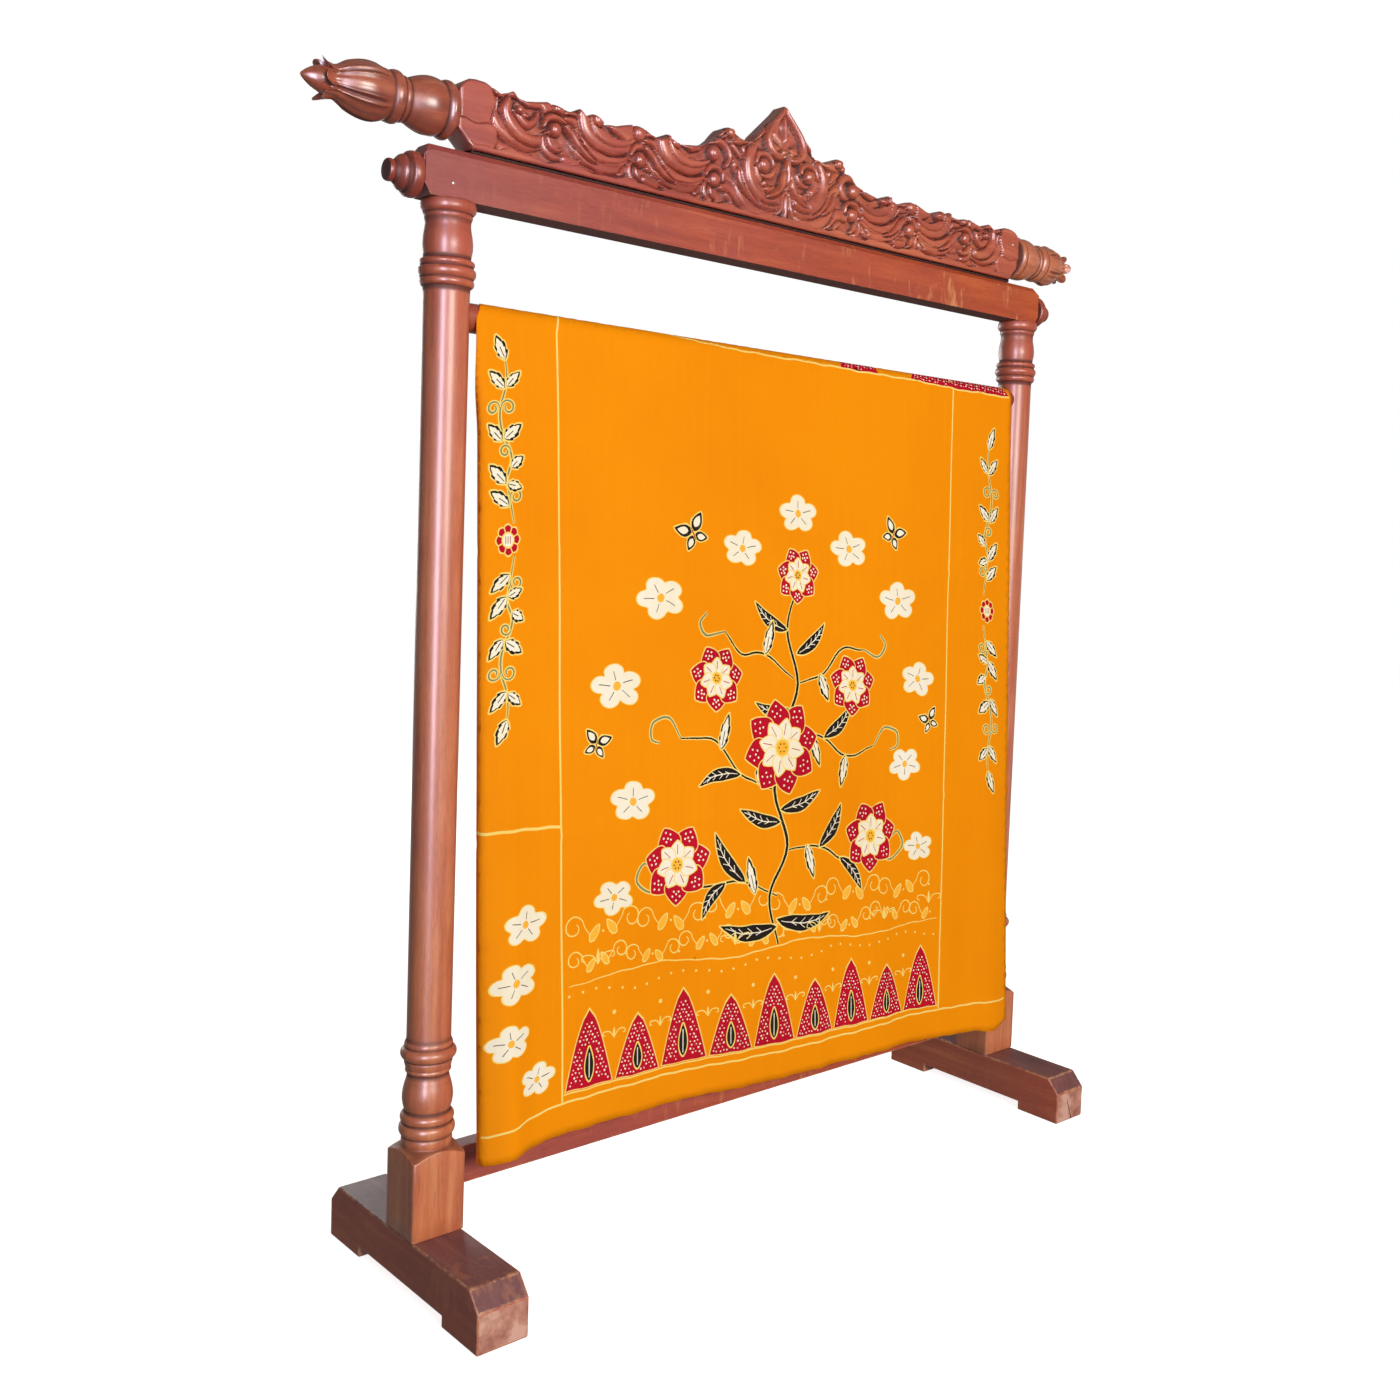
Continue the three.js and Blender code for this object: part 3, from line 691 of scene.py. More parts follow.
class Carving:
    """Heights over the crest's face, worked on one form at a time, each laid over the last."""

    def __init__(self, x, z):
        self.x = abs(x)
        self.z = z
        self.height = np.zeros_like(x)
        self.edge = np.zeros_like(x)

    def nearest(self, path, reach):
        """Distance to the path and how far along it, for the points within reach of it."""
        low, high = path.min(axis=0) - reach, path.max(axis=0) + reach
        near = (self.x > low[0]) & (self.x < high[0]) & (self.z > low[1]) & (self.z < high[1])
        px, pz = self.x[near], self.z[near]
        best = np.full(px.shape, 1e9)
        along = np.zeros(px.shape)
        lengths = np.linalg.norm(np.diff(path, axis=0), axis=1)
        run = np.concatenate([[0], np.cumsum(lengths)]) / max(lengths.sum(), 1e-6)
        for i, (a, b) in enumerate(zip(path, path[1:])):
            step = b - a
            length = max(step @ step, 1e-9)
            t = np.clip(((px - a[0]) * step[0] + (pz - a[1]) * step[1]) / length, 0, 1)
            dx, dz = px - a[0] - t * step[0], pz - a[1] - t * step[1]
            distance = np.hypot(dx, dz)
            closer = distance < best
            best[closer] = distance[closer]
            along[closer] = (run[i] + t * (run[i + 1] - run[i]))[closer]
        return near, best, along

    def lay(self, near, inside, heights, gap, groove=0.6):
        """Lays heights where inside is below 1, and cuts a groove round them."""
        current = self.height[near]
        cut = (inside >= 1) & (gap < 1)
        current[cut] = np.minimum(current[cut], groove + 4.0 * gap[cut])
        current[inside < 1] = heights[inside < 1]
        self.height[near] = current
        edge = self.edge[near]
        edge[inside < 1] = np.clip(heights[inside < 1] / RELIEF, 0, 1) ** 3
        self.edge[near] = edge

    def leaf(self, points, width, top, start=0.3, end=0.2, hollow=0.0, shallow=False):
        """A long leaf or scroll: rounded across, narrower towards its two ends."""
        path = spline(points, 6)
        near, distance, along = self.nearest(path, width + 3)
        belly = np.sin(math.pi * np.clip(along, 0, 1) ** 0.75) ** 0.7
        reach = width * np.maximum(np.where(along < 0.5, start, end) + (1 - start) * belly, 0.08)
        across = distance / reach
        round_over = np.sqrt(np.clip(1 - across ** 2, 0, 1))
        if shallow:
            heights = top * (0.80 + 0.20 * round_over)
            self.lay(near, across, heights, (distance - reach) / 1.6, top * 0.55)
            return
        heights = top * (0.38 + 0.62 * round_over)
        if hollow:
            heights = heights - hollow * np.cos(np.clip(across, 0, 1) * math.pi / 2) ** 2
        self.lay(near, across, heights, (distance - reach) / 2.2)

    def ball(self, x, z, radius, top):
        near = (abs(self.x - x) < radius + 3) & (abs(self.z - z) < radius + 3)
        distance = np.hypot(self.x[near] - x, self.z[near] - z)
        across = distance / radius
        heights = top - radius * 0.8 * (1 - np.sqrt(np.clip(1 - across ** 2, 0, 1)))
        self.lay(near, across, heights, (distance - radius) / 2.0)


# lower outline of the rim along the crest's upper edge: distance from the middle, height
RIM_FOOT = np.array([
    (0, 1700), (36, 1690), (46, 1683), (60, 1671), (81, 1661), (96, 1655), (111, 1652), (121, 1660),
    (136, 1662), (146, 1655), (161, 1640), (176, 1629), (191, 1624), (201, 1628), (214, 1634), (236, 1642),
    (251, 1634), (261, 1625), (273, 1619), (281, 1613), (293, 1614), (301, 1618), (309, 1611), (316, 1614),
    (323, 1617), (336, 1622), (346, 1632), (362, 1642), (392, 1640), (398, 1624), (413, 1624), (416, 1617),
    (431, 1617), (441, 1622), (451, 1618), (456, 1626), (476, 1624), (489, 1631), (496, 1632), (516, 1628),
    (526, 1626), (531, 1637), (541, 1632), (556, 1636), (577, 1640), (583, 1640)], dtype=float)


def leaf_at(face, at):
    """A function that carves leaves given from a place along the crest."""
    def leaf(points, width, top, **settings):
        face.leaf([(at + across, height) for across, height in points], width, top, **settings)

    return leaf


def carve_unit(face, at):
    """One turn of the running scroll: two bundles of broad leaves, down from the rim and up into balls."""
    leaf = leaf_at(face, at)
    # a small shell under the rim
    leaf([(44, 1614), (32, 1608), (20, 1610)], 5, 8, hollow=2)
    # lower bundle: a broad mass with two ridges, a tip in front of it and a blunt leaf under it
    leaf([(118, 1596), (98, 1582), (74, 1574), (46, 1573), (24, 1581), (8, 1598)], 14.5, 10)
    leaf([(110, 1582), (86, 1570), (54, 1567), (30, 1573), (15, 1584)], 6, 10.5, shallow=True)
    leaf([(115, 1610), (102, 1595), (78, 1583), (50, 1581), (28, 1588), (12, 1602)], 6.5, 13, shallow=True)
    leaf([(128, 1567), (106, 1564), (78, 1559)], 6.5, 8.5, start=0.9)
    leaf([(131, 1610), (118, 1602), (105, 1588), (90, 1577), (76, 1572)], 6.5, 14.5, end=0.1)
    # leaflets under the lower ball, and the lobed leaf beside it
    leaf([(36, 1563), (28, 1570), (22, 1580)], 4.5, 9)
    leaf([(18, 1584), (17, 1569), (8, 1560), (-2, 1566)], 5, 10)
    leaf([(8, 1580), (4, 1569), (-5, 1562)], 4, 11)
    leaf([(-12, 1582), (-26, 1588), (-42, 1580), (-54, 1567), (-64, 1561)], 9, 10)
    leaf([(-24, 1576), (-34, 1569), (-40, 1561)], 5, 8.5)
    # upper bundle: the flame that stands over the edge and sweeps down along the rim
    leaf([(130, 1622), (112, 1621), (97, 1610), (78, 1597), (54, 1591), (28, 1594)], 6.5, 9.5)
    leaf([(100, 1648), (96, 1626), (84, 1610), (62, 1600), (38, 1599), (8, 1612)], 13, 13)
    leaf([(84, 1642), (83, 1625), (71, 1612), (50, 1606), (28, 1609), (12, 1616)], 7, 15.5, shallow=True)
    face.ball(at + 74, 1632, 10, 16)
    face.ball(at + 2, 1630, 11.5, 16)
    # the arch over the lower ball
    leaf([(17, 1596), (9, 1608), (-4, 1611), (-15, 1605), (-17, 1593)], 5, 12.5, start=0.5, end=0.4)
    face.ball(at, 1592, 10.5, 16)


def carve_end_unit(face, at):
    """The last turn beside the end panel: two crescents, a scoop with a ball, and a cupped leaf."""
    leaf = leaf_at(face, at)
    leaf([(104, 1580), (92, 1568), (72, 1561), (46, 1562), (26, 1570)], 7, 8.5)
    leaf([(92, 1624), (97, 1607), (89, 1591), (69, 1578), (44, 1571), (22, 1578), (6, 1592)], 9.5, 11.5)
    leaf([(74, 1628), (77, 1611), (69, 1596), (52, 1584), (34, 1580), (18, 1587), (5, 1602)], 10, 14.5)
    leaf([(60, 1624), (56, 1609), (44, 1600), (32, 1608), (27, 1620)], 7, 12)
    leaf([(52, 1622), (46, 1612), (38, 1614)], 4, 8)
    face.ball(at + 56, 1617, 5.5, 15)
    leaf([(18, 1590), (12, 1574), (-2, 1566), (-18, 1569)], 6.5, 9.5)
    leaf([(12, 1592), (6, 1580), (-6, 1576), (-14, 1580)], 4.5, 12)
    face.ball(at - 5, 1632, 10, 16)
    leaf([(18, 1604), (11, 1616), (-2, 1620), (-16, 1615), (-22, 1606)], 5, 12.5, start=0.5, end=0.4)
    face.ball(at - 1, 1603, 9.5, 16)


def carve_middle(face):
    """Two facing scrolls and a stem of leaves under the leaf medallion."""
    face.leaf([(101, 1612), (98, 1590), (83, 1570), (54, 1560), (24, 1567), (8, 1580)], 8.5, 9.5)
    face.leaf([(124, 1640), (107, 1622), (91, 1604), (72, 1586), (50, 1575), (26, 1573), (8, 1584)], 9.5, 12)
    face.leaf([(103, 1616), (99, 1601), (90, 1588), (80, 1580)], 5, 14.5)
    # leaves under the ledge
    face.leaf([(114, 1652), (104, 1645), (95, 1634)], 5.5, 10)
    face.leaf([(94, 1652), (87, 1640), (84, 1626)], 5.5, 12)
    face.leaf([(74, 1666), (67, 1656), (66, 1646)], 6, 12)
    # the scroll round its ball
    face.leaf([(66, 1640), (63, 1622), (52, 1606), (36, 1599), (19, 1604), (11, 1618)], 6.5, 10.5)
    face.leaf([(70, 1656), (80, 1636), (77, 1611), (62, 1592), (41, 1583), (18, 1587), (5, 1604), (3, 1634)],
              11, 14.5, start=0.5)
    face.leaf([(66, 1634), (60, 1648), (46, 1652), (34, 1646), (29, 1634)], 5, 13, start=0.5, end=0.5)
    face.leaf([(22, 1634), (30, 1622), (42, 1618), (52, 1620)], 4.5, 8)
    face.ball(47, 1606, 4.5, 12)
    face.ball(49, 1634, 10.5, 16)
    # the stem
    face.leaf([(3, 1600), (8, 1580), (16, 1564)], 6, 12)
    face.leaf([(2, 1646), (6, 1622), (14, 1604), (28, 1592), (44, 1586)], 6.5, 15.5)
    face.leaf([(0, 1656), (0, 1636), (0, 1612)], 6, 16)
    face.leaf([(0, 1596), (0, 1578), (0, 1560)], 5, 11)
    # the ring round the first upper ball, and the hook over it
    face.leaf([(174, 1638), (160, 1649), (143, 1652), (126, 1646), (118, 1631), (126, 1615)], 6.5, 12.5,
              start=0.4, end=0.4)
    face.ball(149, 1631, 11.5, 16)
    face.leaf([(106, 1668), (112, 1664), (121, 1664), (130, 1660)], 4.5, 12)
    face.ball(116, 1670, 8, 16)
    medallion(face)


def medallion(face):
    """A pointed leaf with a raised rim, a vein from its tip and a fan of ribs at its foot."""
    inside = (face.x < np.interp(face.z, [1650, 1656, 1668, 1684, 1702, 1722, 1737],
                                 [6, 28, 39, 38, 26, 8, 0.0])) & (face.z > 1652)
    dx, dz = face.x, face.z - 1668
    fan = np.arctan2(dz, np.maximum(dx, 1e-6))
    radius = np.hypot(dx, dz)
    ribs = 2.6 * np.cos(fan * 7.0) * np.clip((radius - 6) / 8, 0, 1) * np.clip((36 - radius) / 6, 0, 1)
    bowl = 4.0 + ribs
    drop = 9.0 * np.exp(-(face.x / np.interp(face.z, [1672, 1688, 1725], [6.5, 5.0, 2.0])) ** 2)
    field = bowl + drop * np.clip((face.z - 1674) / 8, 0, 1)
    face.height[inside] = field[inside]
    face.leaf([(0, 1737), (8, 1723), (25, 1703), (36, 1685), (36, 1668), (27, 1657), (14, 1654), (2, 1662)],
              6.5, 15.5, start=0.8, end=0.8)
    face.ball(8, 1661, 5.5, 15)


def averaged(grid, rounds, own):
    """Each height averaged with its four neighbours, its own counted own times."""
    for _ in range(rounds):
        wide = np.pad(grid, 1, mode="edge")
        grid = (wide[1:-1, 1:-1] * own + wide[:-2, 1:-1] + wide[2:, 1:-1] + wide[1:-1, :-2]
                + wide[1:-1, 2:]) / (4 + own)
    return grid


def carved_face(x, z):
    """Every form of the carving, in the order in which each is laid over the last."""
    face = Carving(x, z)
    # the sunk ground, tooled a little unevenly, and the rim along the upper edge
    face.height += 1.6 + 0.5 * np.sin(x / 3.1) * np.sin(z / 2.7)
    over_rim = z - np.interp(abs(x), RIM_FOOT[:, 0], RIM_FOOT[:, 1])
    face.height = np.where(over_rim > 0, 7.5 + 4.5 * np.sqrt(np.clip(over_rim / 7, 0, 1)), face.height)
    face.height[(over_rim <= 0) & (over_rim > -2.4)] = 0.8
    carve_end_unit(face, 433)
    carve_unit(face, 287)
    carve_unit(face, 148)
    carve_middle(face)
    # the plain ledge along the bottom
    below = z < 1559 + 2.5 * np.sin(abs(x) / 15.0) + 1.2 * np.sin(abs(x) / 6.1 + 1)
    face.height[below] = np.maximum(face.height[below], 11.0)
    # the plain panel at each end, stepped along a wavy line, with a rim round its corner
    panel_edge = 531 + 3.5 * np.sin(z / 7.0)
    panel_foot = 1586 + 2.0 * np.sin(abs(x) / 6.0)
    panel = (abs(x) > panel_edge) & (z > panel_foot)
    step = (abs(x) > panel_edge - 2.5) & ~panel & (z > 1584)
    face.height[step] = np.minimum(face.height[step], 3.0)
    face.height[panel] = 13.0
    under_panel = (abs(x) > panel_edge - 6) & (z <= panel_foot)
    face.height[under_panel] = np.maximum(face.height[under_panel], 10.0)
    return face


def up_the_gable(z):
    return np.clip((z - SHOULDER_Z) / (PEAK_Z - SHOULDER_Z), 0, 1)


def make_crest():
    """The carved board: its front in relief, its back plain, on a dark fillet set back behind its face as a
    painted shadow line.
    """
    centre = middle("crest")[0] / MM
    fillet = [(y, CREST_BOTTOM + height) for y, height in FILLET_OUTLINE]
    ends = (centre - CREST_HALF + FILLET_SHORT[0], centre + CREST_HALF - FILLET_SHORT[1])
    # the painted shadow line under the carving
    stands_for(make_board("crest_fillet", fillet, ends, [in_shadow], 0.8), "crest")

    columns, rows = CARVING_COLUMNS, CARVING_ROWS
    across = np.linspace(-CREST_HALF, CREST_HALF, columns)
    edge = np.array(CREST_EDGE, dtype=float)
    upper = np.interp(abs(across), edge[:, 0], edge[:, 1])
    lower = CREST_BOTTOM + FILLET + np.clip(abs(across) - (CREST_HALF - CREST_CUT), 0, CREST_CUT)
    x = np.repeat(across[:, None], rows, axis=1)
    z = lower[:, None] + (upper - lower)[:, None] * np.linspace(0, 1, rows)[None, :]
    face = carved_face(x, z)

    # the edges of the board are cut back a little
    height = averaged(face.height, 1, 4)
    from_edge = np.minimum(upper[:, None] - z, CREST_HALF - abs(x))
    height = height * (1 - 0.45 * np.exp(-(from_edge / 2.2) ** 2))
    height = height - 1.2 * np.exp(-((z - lower[:, None]) / 1.5) ** 2)
    front = CREST_FRONT + 13 * up_the_gable(z) + (RELIEF + 0.6 - height)

    points = np.stack([x + centre, front, z], axis=2).reshape(-1, 3)
    index = np.arange(columns * rows).reshape(columns, rows)
    faces = np.stack(
        [index[:-1, :-1], index[1:, :-1], index[1:, 1:], index[:-1, 1:]], axis=2).reshape(-1, 4).tolist()
    # rings from the front's outline back to the plain back: share of the depth, how far drawn in
    before = np.concatenate([index[:, 0], index[-1, 1:], index[-2::-1, -1], index[0, -2:0:-1]])
    rim = points[before]
    back = CREST_BACK - 3 * up_the_gable(rim[:, 2])
    at_end = abs(rim[:, 0] - centre) > CREST_HALF - 2
    extra = []
    for depth, inset in ((0.12, 0.0), (0.5, 0.0), (0.92, 0.0), (1.0, 0.9)):
        ring = np.stack([
            rim[:, 0] - np.sign(rim[:, 0] - centre) * inset * at_end,
            rim[:, 1] + (back - rim[:, 1]) * depth,
            rim[:, 2] - inset * np.where(rim[:, 2] > 1600, 1, -1)], axis=1)
        here = np.arange(len(rim)) + len(points) + len(extra) * len(rim)
        extra.append(ring)
        faces += np.stack([np.roll(before, -1), before, here, np.roll(here, -1)], axis=1).tolist()
        before = here
    # the back joins the bottom and top halves of the last ring column by column
    last = before.tolist()
    corner = columns + rows - 2
    bottom_run, right_run = last[:columns], last[columns - 1:corner + 1]
    top_run = last[corner:corner + columns][::-1]
    left_run = [bottom_run[0]] + last[corner + columns:][::-1] + [top_run[0]]
    for i in range(columns - 1):
        faces.append((bottom_run[i + 1], bottom_run[i], top_run[i], top_run[i + 1]))
    faces.append(tuple(right_run[::-1]))
    faces.append(tuple(left_run))

    every = np.vstack([points] + extra) * MM
    plain = len(every) - len(points)
    wear = np.concatenate([(face.edge * 0.45).ravel(), np.full(plain, 0.25)])
    # painted shade: darker where the carving lies below the heights round it, and on the deep ground
    around = averaged(face.height, 7, 1)
    sunk = np.clip((around - face.height) / 3.5, 0, 0.75) + 0.3 * np.clip((4.0 - face.height) / 3.0, 0, 1)
    hollow = np.concatenate([sunk.ravel(), np.zeros(plain)])
    made = make_object("crest_carved", every, faces, [carved_mahogany], wear, hollow)
    for plain_face in made.data.polygons[-(columns + 1):]:
        plain_face.use_smooth = False
    stands_for(made, "crest")


# The cloth

# Everything in millimetres: across runs from the left edge, up runs from the front hem over the rail
CLOTH_WIDTH = 1131.0
CLOTH_LENGTH = 2400.0
CLOTH_THICK = 1.1
WRAP_RADIUS = 20.9
RAIL_Z = 1332.0
CLOTH_LEFT = middle("rail")[0] / MM - 566
FRONT_DROP = 1147.0               # from the rail to the front hem at its left end
HEM_SLOPE = 0.035                 # the hem falls this much further towards the right
HEM_BOW = 11.0
FRONT_LEAN = 47.0                 # how far the front hem hangs out from the rail
BACK_LEAN = 30.0
FRONT_SPREAD = (3.0, 9.0)         # the front widens by this much at its left and right edges
BACK_SHIFT = 6.0
BACK_TUCK = (32.0, 65.0)          # the back's left edge lies this much further in, and more at its hem
TURN = 16.0                       # width of the left edge that is turned in
TURN_ANGLE = 1.9
RAGGED = 14.0                     # height above the hem over which its ragged end fades out
# folds: place across, half width, how far they stand out
FRONT_FOLDS = [(46, 32, 24), (330, 90, -7), (620, 120, 6), (880, 80, -6), (1078, 42, 15)]
BACK_FOLDS = [(100, 60, 20), (300, 80, -12), (520, 80, 24), (760, 80, -12), (1010, 90, 14)]


def fold_out(folds, across, share):
    """How far the folds stand out, more towards the hem."""
    return sum(out * share ** 2 * np.exp(-((across - place) / half) ** 2) for place, half, out in folds)


def front_drop(across):
    """How far the front hangs below the rail: slanting, bowed and a little uneven."""
    bow = HEM_BOW * (1 - (2 * across / CLOTH_WIDTH - 1) ** 4)
    corner = 7.0 * np.exp(-(across / 60) ** 2)
    uneven = 0.6 * np.sin(across / 37.0) + 0.7 * np.sin(across / 14.3 + 1.0) + 0.6 * np.sin(across / 6.7)
    return FRONT_DROP + HEM_SLOPE * across - bow + corner + uneven


def hem_rise(across):
    """How much the ragged right end of the front hem is drawn up."""
    rise = -3.0 * np.exp(-((across - 1076) / 26) ** 2)
    for place, step in ((1090.0, 5.0), (1108.0, 6.0)):
        rise = rise + step * np.clip((across - place) / 9.0, 0, 1)
    return rise


def soft_creases(across, drop, share):
    """Shallow waves and pressed fold lines left from storing the cloth folded."""
    waves = 1.6 * np.sin(across / 61.0 + drop / 420.0) * np.sin(drop / 230.0 + 0.7)
    waves = waves + 1.1 * np.sin(across / 27.0 - drop / 300.0 + 1.3) * share
    waves = waves + 0.7 * np.sin(across / 12.5 + 0.4) * share ** 3
    pressed = 0.0
    for place in (312.0, 712.0):
        pressed = pressed + 1.3 * np.exp(-((drop - place - 0.02 * across) / 6.0) ** 2)
    for place in (283.0, 566.0, 849.0):
        pressed = pressed + 0.7 * np.exp(-((across - place) / 5.0) ** 2)
    return (waves + pressed) * np.clip(share * 9, 0, 1)


def drape(across, up):
    """Where a point of the flat cloth hangs."""
    across = np.asarray(across, dtype=float)
    up = np.asarray(up, dtype=float)
    fall = front_drop(across)
    back_fall = CLOTH_LENGTH - math.pi * WRAP_RADIUS - fall
    drop = np.clip(fall - up - hem_rise(across) * np.exp(-(up / RAGGED) ** 2), 0, None)
    share = drop / fall
    widened = FRONT_SPREAD[0] + (FRONT_SPREAD[1] - FRONT_SPREAD[0]) * across / CLOTH_WIDTH
    x_front = CLOTH_LEFT + across + widened * share
    y_front = -WRAP_RADIUS - FRONT_LEAN * share - fold_out(FRONT_FOLDS, across, share)
    y_front = y_front - soft_creases(across, drop, share)
    # the left edge turns in on itself
    eased = np.clip((share - 0.02) / 0.12, 0, 1)
    bend = np.maximum(TURN_ANGLE * eased ** 2 * (3 - 2 * eased), 1e-4)
    inward = np.clip(TURN - across, 0, None)
    turn_radius = TURN / bend
    x_turned = CLOTH_LEFT + TURN + widened * share - turn_radius * np.sin(inward / turn_radius)
    x_front = np.where(inward > 0, x_turned, x_front)
    y_front = y_front + np.where(inward > 0, turn_radius * (1 - np.cos(inward / turn_radius)), 0)
    # over the rail and down the back
    angle = np.clip((up - fall) / WRAP_RADIUS, 0, math.pi)
    back_drop = np.clip(up - fall - math.pi * WRAP_RADIUS, 0, None)
    back_share = back_drop / back_fall
    inward_share = 1 - across / CLOTH_WIDTH
    tuck = (BACK_TUCK[0] + BACK_TUCK[1] * back_share ** 0.8) * inward_share
    x_over = CLOTH_LEFT + across + BACK_TUCK[0] * inward_share * angle / math.pi
    x_back = CLOTH_LEFT + across + BACK_SHIFT * back_share + tuck
    y_back = WRAP_RADIUS + BACK_LEAN * back_share + fold_out(BACK_FOLDS, across, back_share)
    y_back = y_back + soft_creases(across + 200, back_drop, back_share)
    on_front = up < fall
    on_back = back_drop > 0
    x = np.where(on_front, x_front, np.where(on_back, x_back, x_over))
    y = np.where(on_front, y_front, np.where(on_back, y_back, -WRAP_RADIUS * np.cos(angle)))
    z_over = RAIL_Z + WRAP_RADIUS * np.sin(angle)
    z = np.where(on_front, RAIL_Z - drop, np.where(on_back, RAIL_Z - back_drop, z_over))
    return np.stack([x, y, z], axis=-1)


artwork = []                      # (outline, dye), each laid over those before it
LONGEST_EDGE = 14.0


def paint(points, dye):
    """Lays an outline over the artwork, its long edges divided so that they follow the folds."""
    corners = np.asarray(points, dtype=float)
    divided = []
    for start, stop in zip(corners, np.roll(corners, -1, axis=0)):
        count = max(int(np.ceil(np.linalg.norm(stop - start) / LONGEST_EDGE)), 1)
        divided += [start + (stop - start) * k / count for k in range(count)]
    artwork.append((np.array(divided), dye))


def round_outline(x, y, across, up, angles):
    return np.stack([x + across * np.cos(angles), y + up * np.sin(angles)], axis=1)


def blob(x, y, radius, dye, sides=6, turn=0.0, tall=1.0):
    """A round spot with a few sides."""
    angles = np.linspace(0, 2 * math.pi, sides, endpoint=False) + turn
    paint(round_outline(x, y, radius, radius * tall, angles), dye)


def ray(x, y, start, stop, angle, width, dye, tall=1.0):
    """A straight stroke outwards from a flower's middle."""
    cosine, sine = math.cos(angle), math.sin(angle)
    stroke([(x + start * cosine, y + start * tall * sine), (x + stop * cosine, y + stop * tall * sine)],
           width, dye, taper=False)


def outlined_leaf(base, tip, width, dye, bow=0.0, grow=1.7):
    """A plain leaf in one dye, in a waxed outline."""
    paint(leaf_outline(base, tip, width, 0, bow, grow), LINE)
    paint(leaf_outline(base, tip, width, 0, bow), dye)


def stroke(points, width, dye, steps=6, taper=True):
    """A brushed or waxed line of a given width, thinner at its ends if tapered."""
    line = spline(points, steps) if len(points) > 2 else np.asarray(points, dtype=float)
    ahead = np.gradient(line, axis=0)
    ahead /= np.maximum(np.linalg.norm(ahead, axis=1), 1e-9)[:, None]
    across = np.stack([-ahead[:, 1], ahead[:, 0]], axis=1)
    share = np.linspace(0, 1, len(line))
    half = np.full(len(line), width / 2)
    if taper:
        half = half * (0.45 + 0.55 * np.sin(math.pi * np.clip(share, 0.02, 0.98)) ** 0.5)
    paint(np.vstack([line + across * half[:, None], (line - across * half[:, None])[::-1]]), dye)


def leaf_outline(base, tip, width, teeth=0, bow=0.0, grow=0.0):
    """A leaf from base to tip, with saw teeth if wanted. Bow bends it, grow widens it all round."""
    base, tip = np.asarray(base, dtype=float), np.asarray(tip, dtype=float)
    axis = tip - base
    length = np.linalg.norm(axis)
    axis /= length
    side = np.array([-axis[1], axis[0]])
    count = 6 * max(teeth, 2)
    share = np.linspace(0, 1, count)
    half = width / 2 * np.sin(math.pi * share ** 0.8) ** 0.85
    if teeth:
        saw = (share * teeth) % 1.0
        half = half * (0.80 + 0.34 * saw * (share < 0.92))
    half = half + grow
    middle_line = base[None] + axis[None] * (length + 2 * grow) * share[:, None] - axis[None] * grow
    middle_line = middle_line + side[None] * (bow * np.sin(math.pi * share))[:, None]
    left = middle_line + side[None] * half[:, None]
    right = middle_line - side[None] * half[:, None]
    return np.vstack([left, right[::-1]])


def leaf_axes(base, tip):
    """A leaf's base, the way from there to its tip, and the unit direction to the left of it."""
    base = np.asarray(base, dtype=float)
    axis = np.asarray(tip, dtype=float) - base
    return base, axis, np.array([-axis[1], axis[0]]) / np.linalg.norm(axis)


def vine_leaf(base, tip, width):
    """A toothed white leaf with a jagged black edge, in a waxed outline, and a short vein."""
    base, axis, side = leaf_axes(base, tip)
    paint(leaf_outline(base, tip, width, 3, grow=1.9), LINE)
    paint(leaf_outline(base, tip, width, 3), BLACK)
    inner = base + side * 0.7
    paint(leaf_outline(inner + axis * 0.02, inner + axis * 0.90, width * 0.70, 4), WHITE)
    stroke([base + axis * 0.10, base + axis * 0.52 + side * 0.8], 1.3, BLACK, taper=False)


def tendril(points, width=2.4):
    """A grey-green stem in a waxed outline."""
    stroke(points, width + 4.0, LINE)
    stroke(points, width * 1.15, STEM)


CURL_TURNS = 1.15


def curl_points(base, reach, side):
    """A spiral that leaves the stem upwards and winds in on itself."""
    angles = np.linspace(math.pi, math.pi - CURL_TURNS * 2 * math.pi, 12)
    radius = np.linspace(1.0, 0.34, 12)
    cx, cy = base[0] + side * reach, base[1] + reach * 0.9
    return [(cx + side * reach * r * math.cos(a), cy + reach * r * math.sin(a))
            for a, r in zip(angles, radius)]


def small_flower(x, y, radius):
    """A round flower: red petals parted by pale strokes, and a white middle with short strokes."""
    petals, tall = 8, 1.15
    angles = np.linspace(0, 2 * math.pi, petals * 6, endpoint=False)
    scallop = 0.84 + 0.16 * abs(np.cos(angles * petals / 2))
    for reach, dye in ((radius + 2.2, LINE), (radius, RED)):
        paint(round_outline(x, y, reach * scallop, reach * tall * scallop, angles), dye)
    for k in range(petals):
        ray(x, y, radius * 0.5, radius * 0.94, 2 * math.pi * (k + 0.5) / petals, 1.7, LINE, tall)
    blob(x, y, radius * 0.56, LINE, 20, tall=tall)
    blob(x, y, radius * 0.44, WHITE, 20, tall=tall)
    for k in range(-1, 2):
        stroke([(x + k * radius * 0.20, y - radius * 0.26), (x + k * radius * 0.20, y + radius * 0.30)],
               1.2, RED if k else STEM, taper=False)


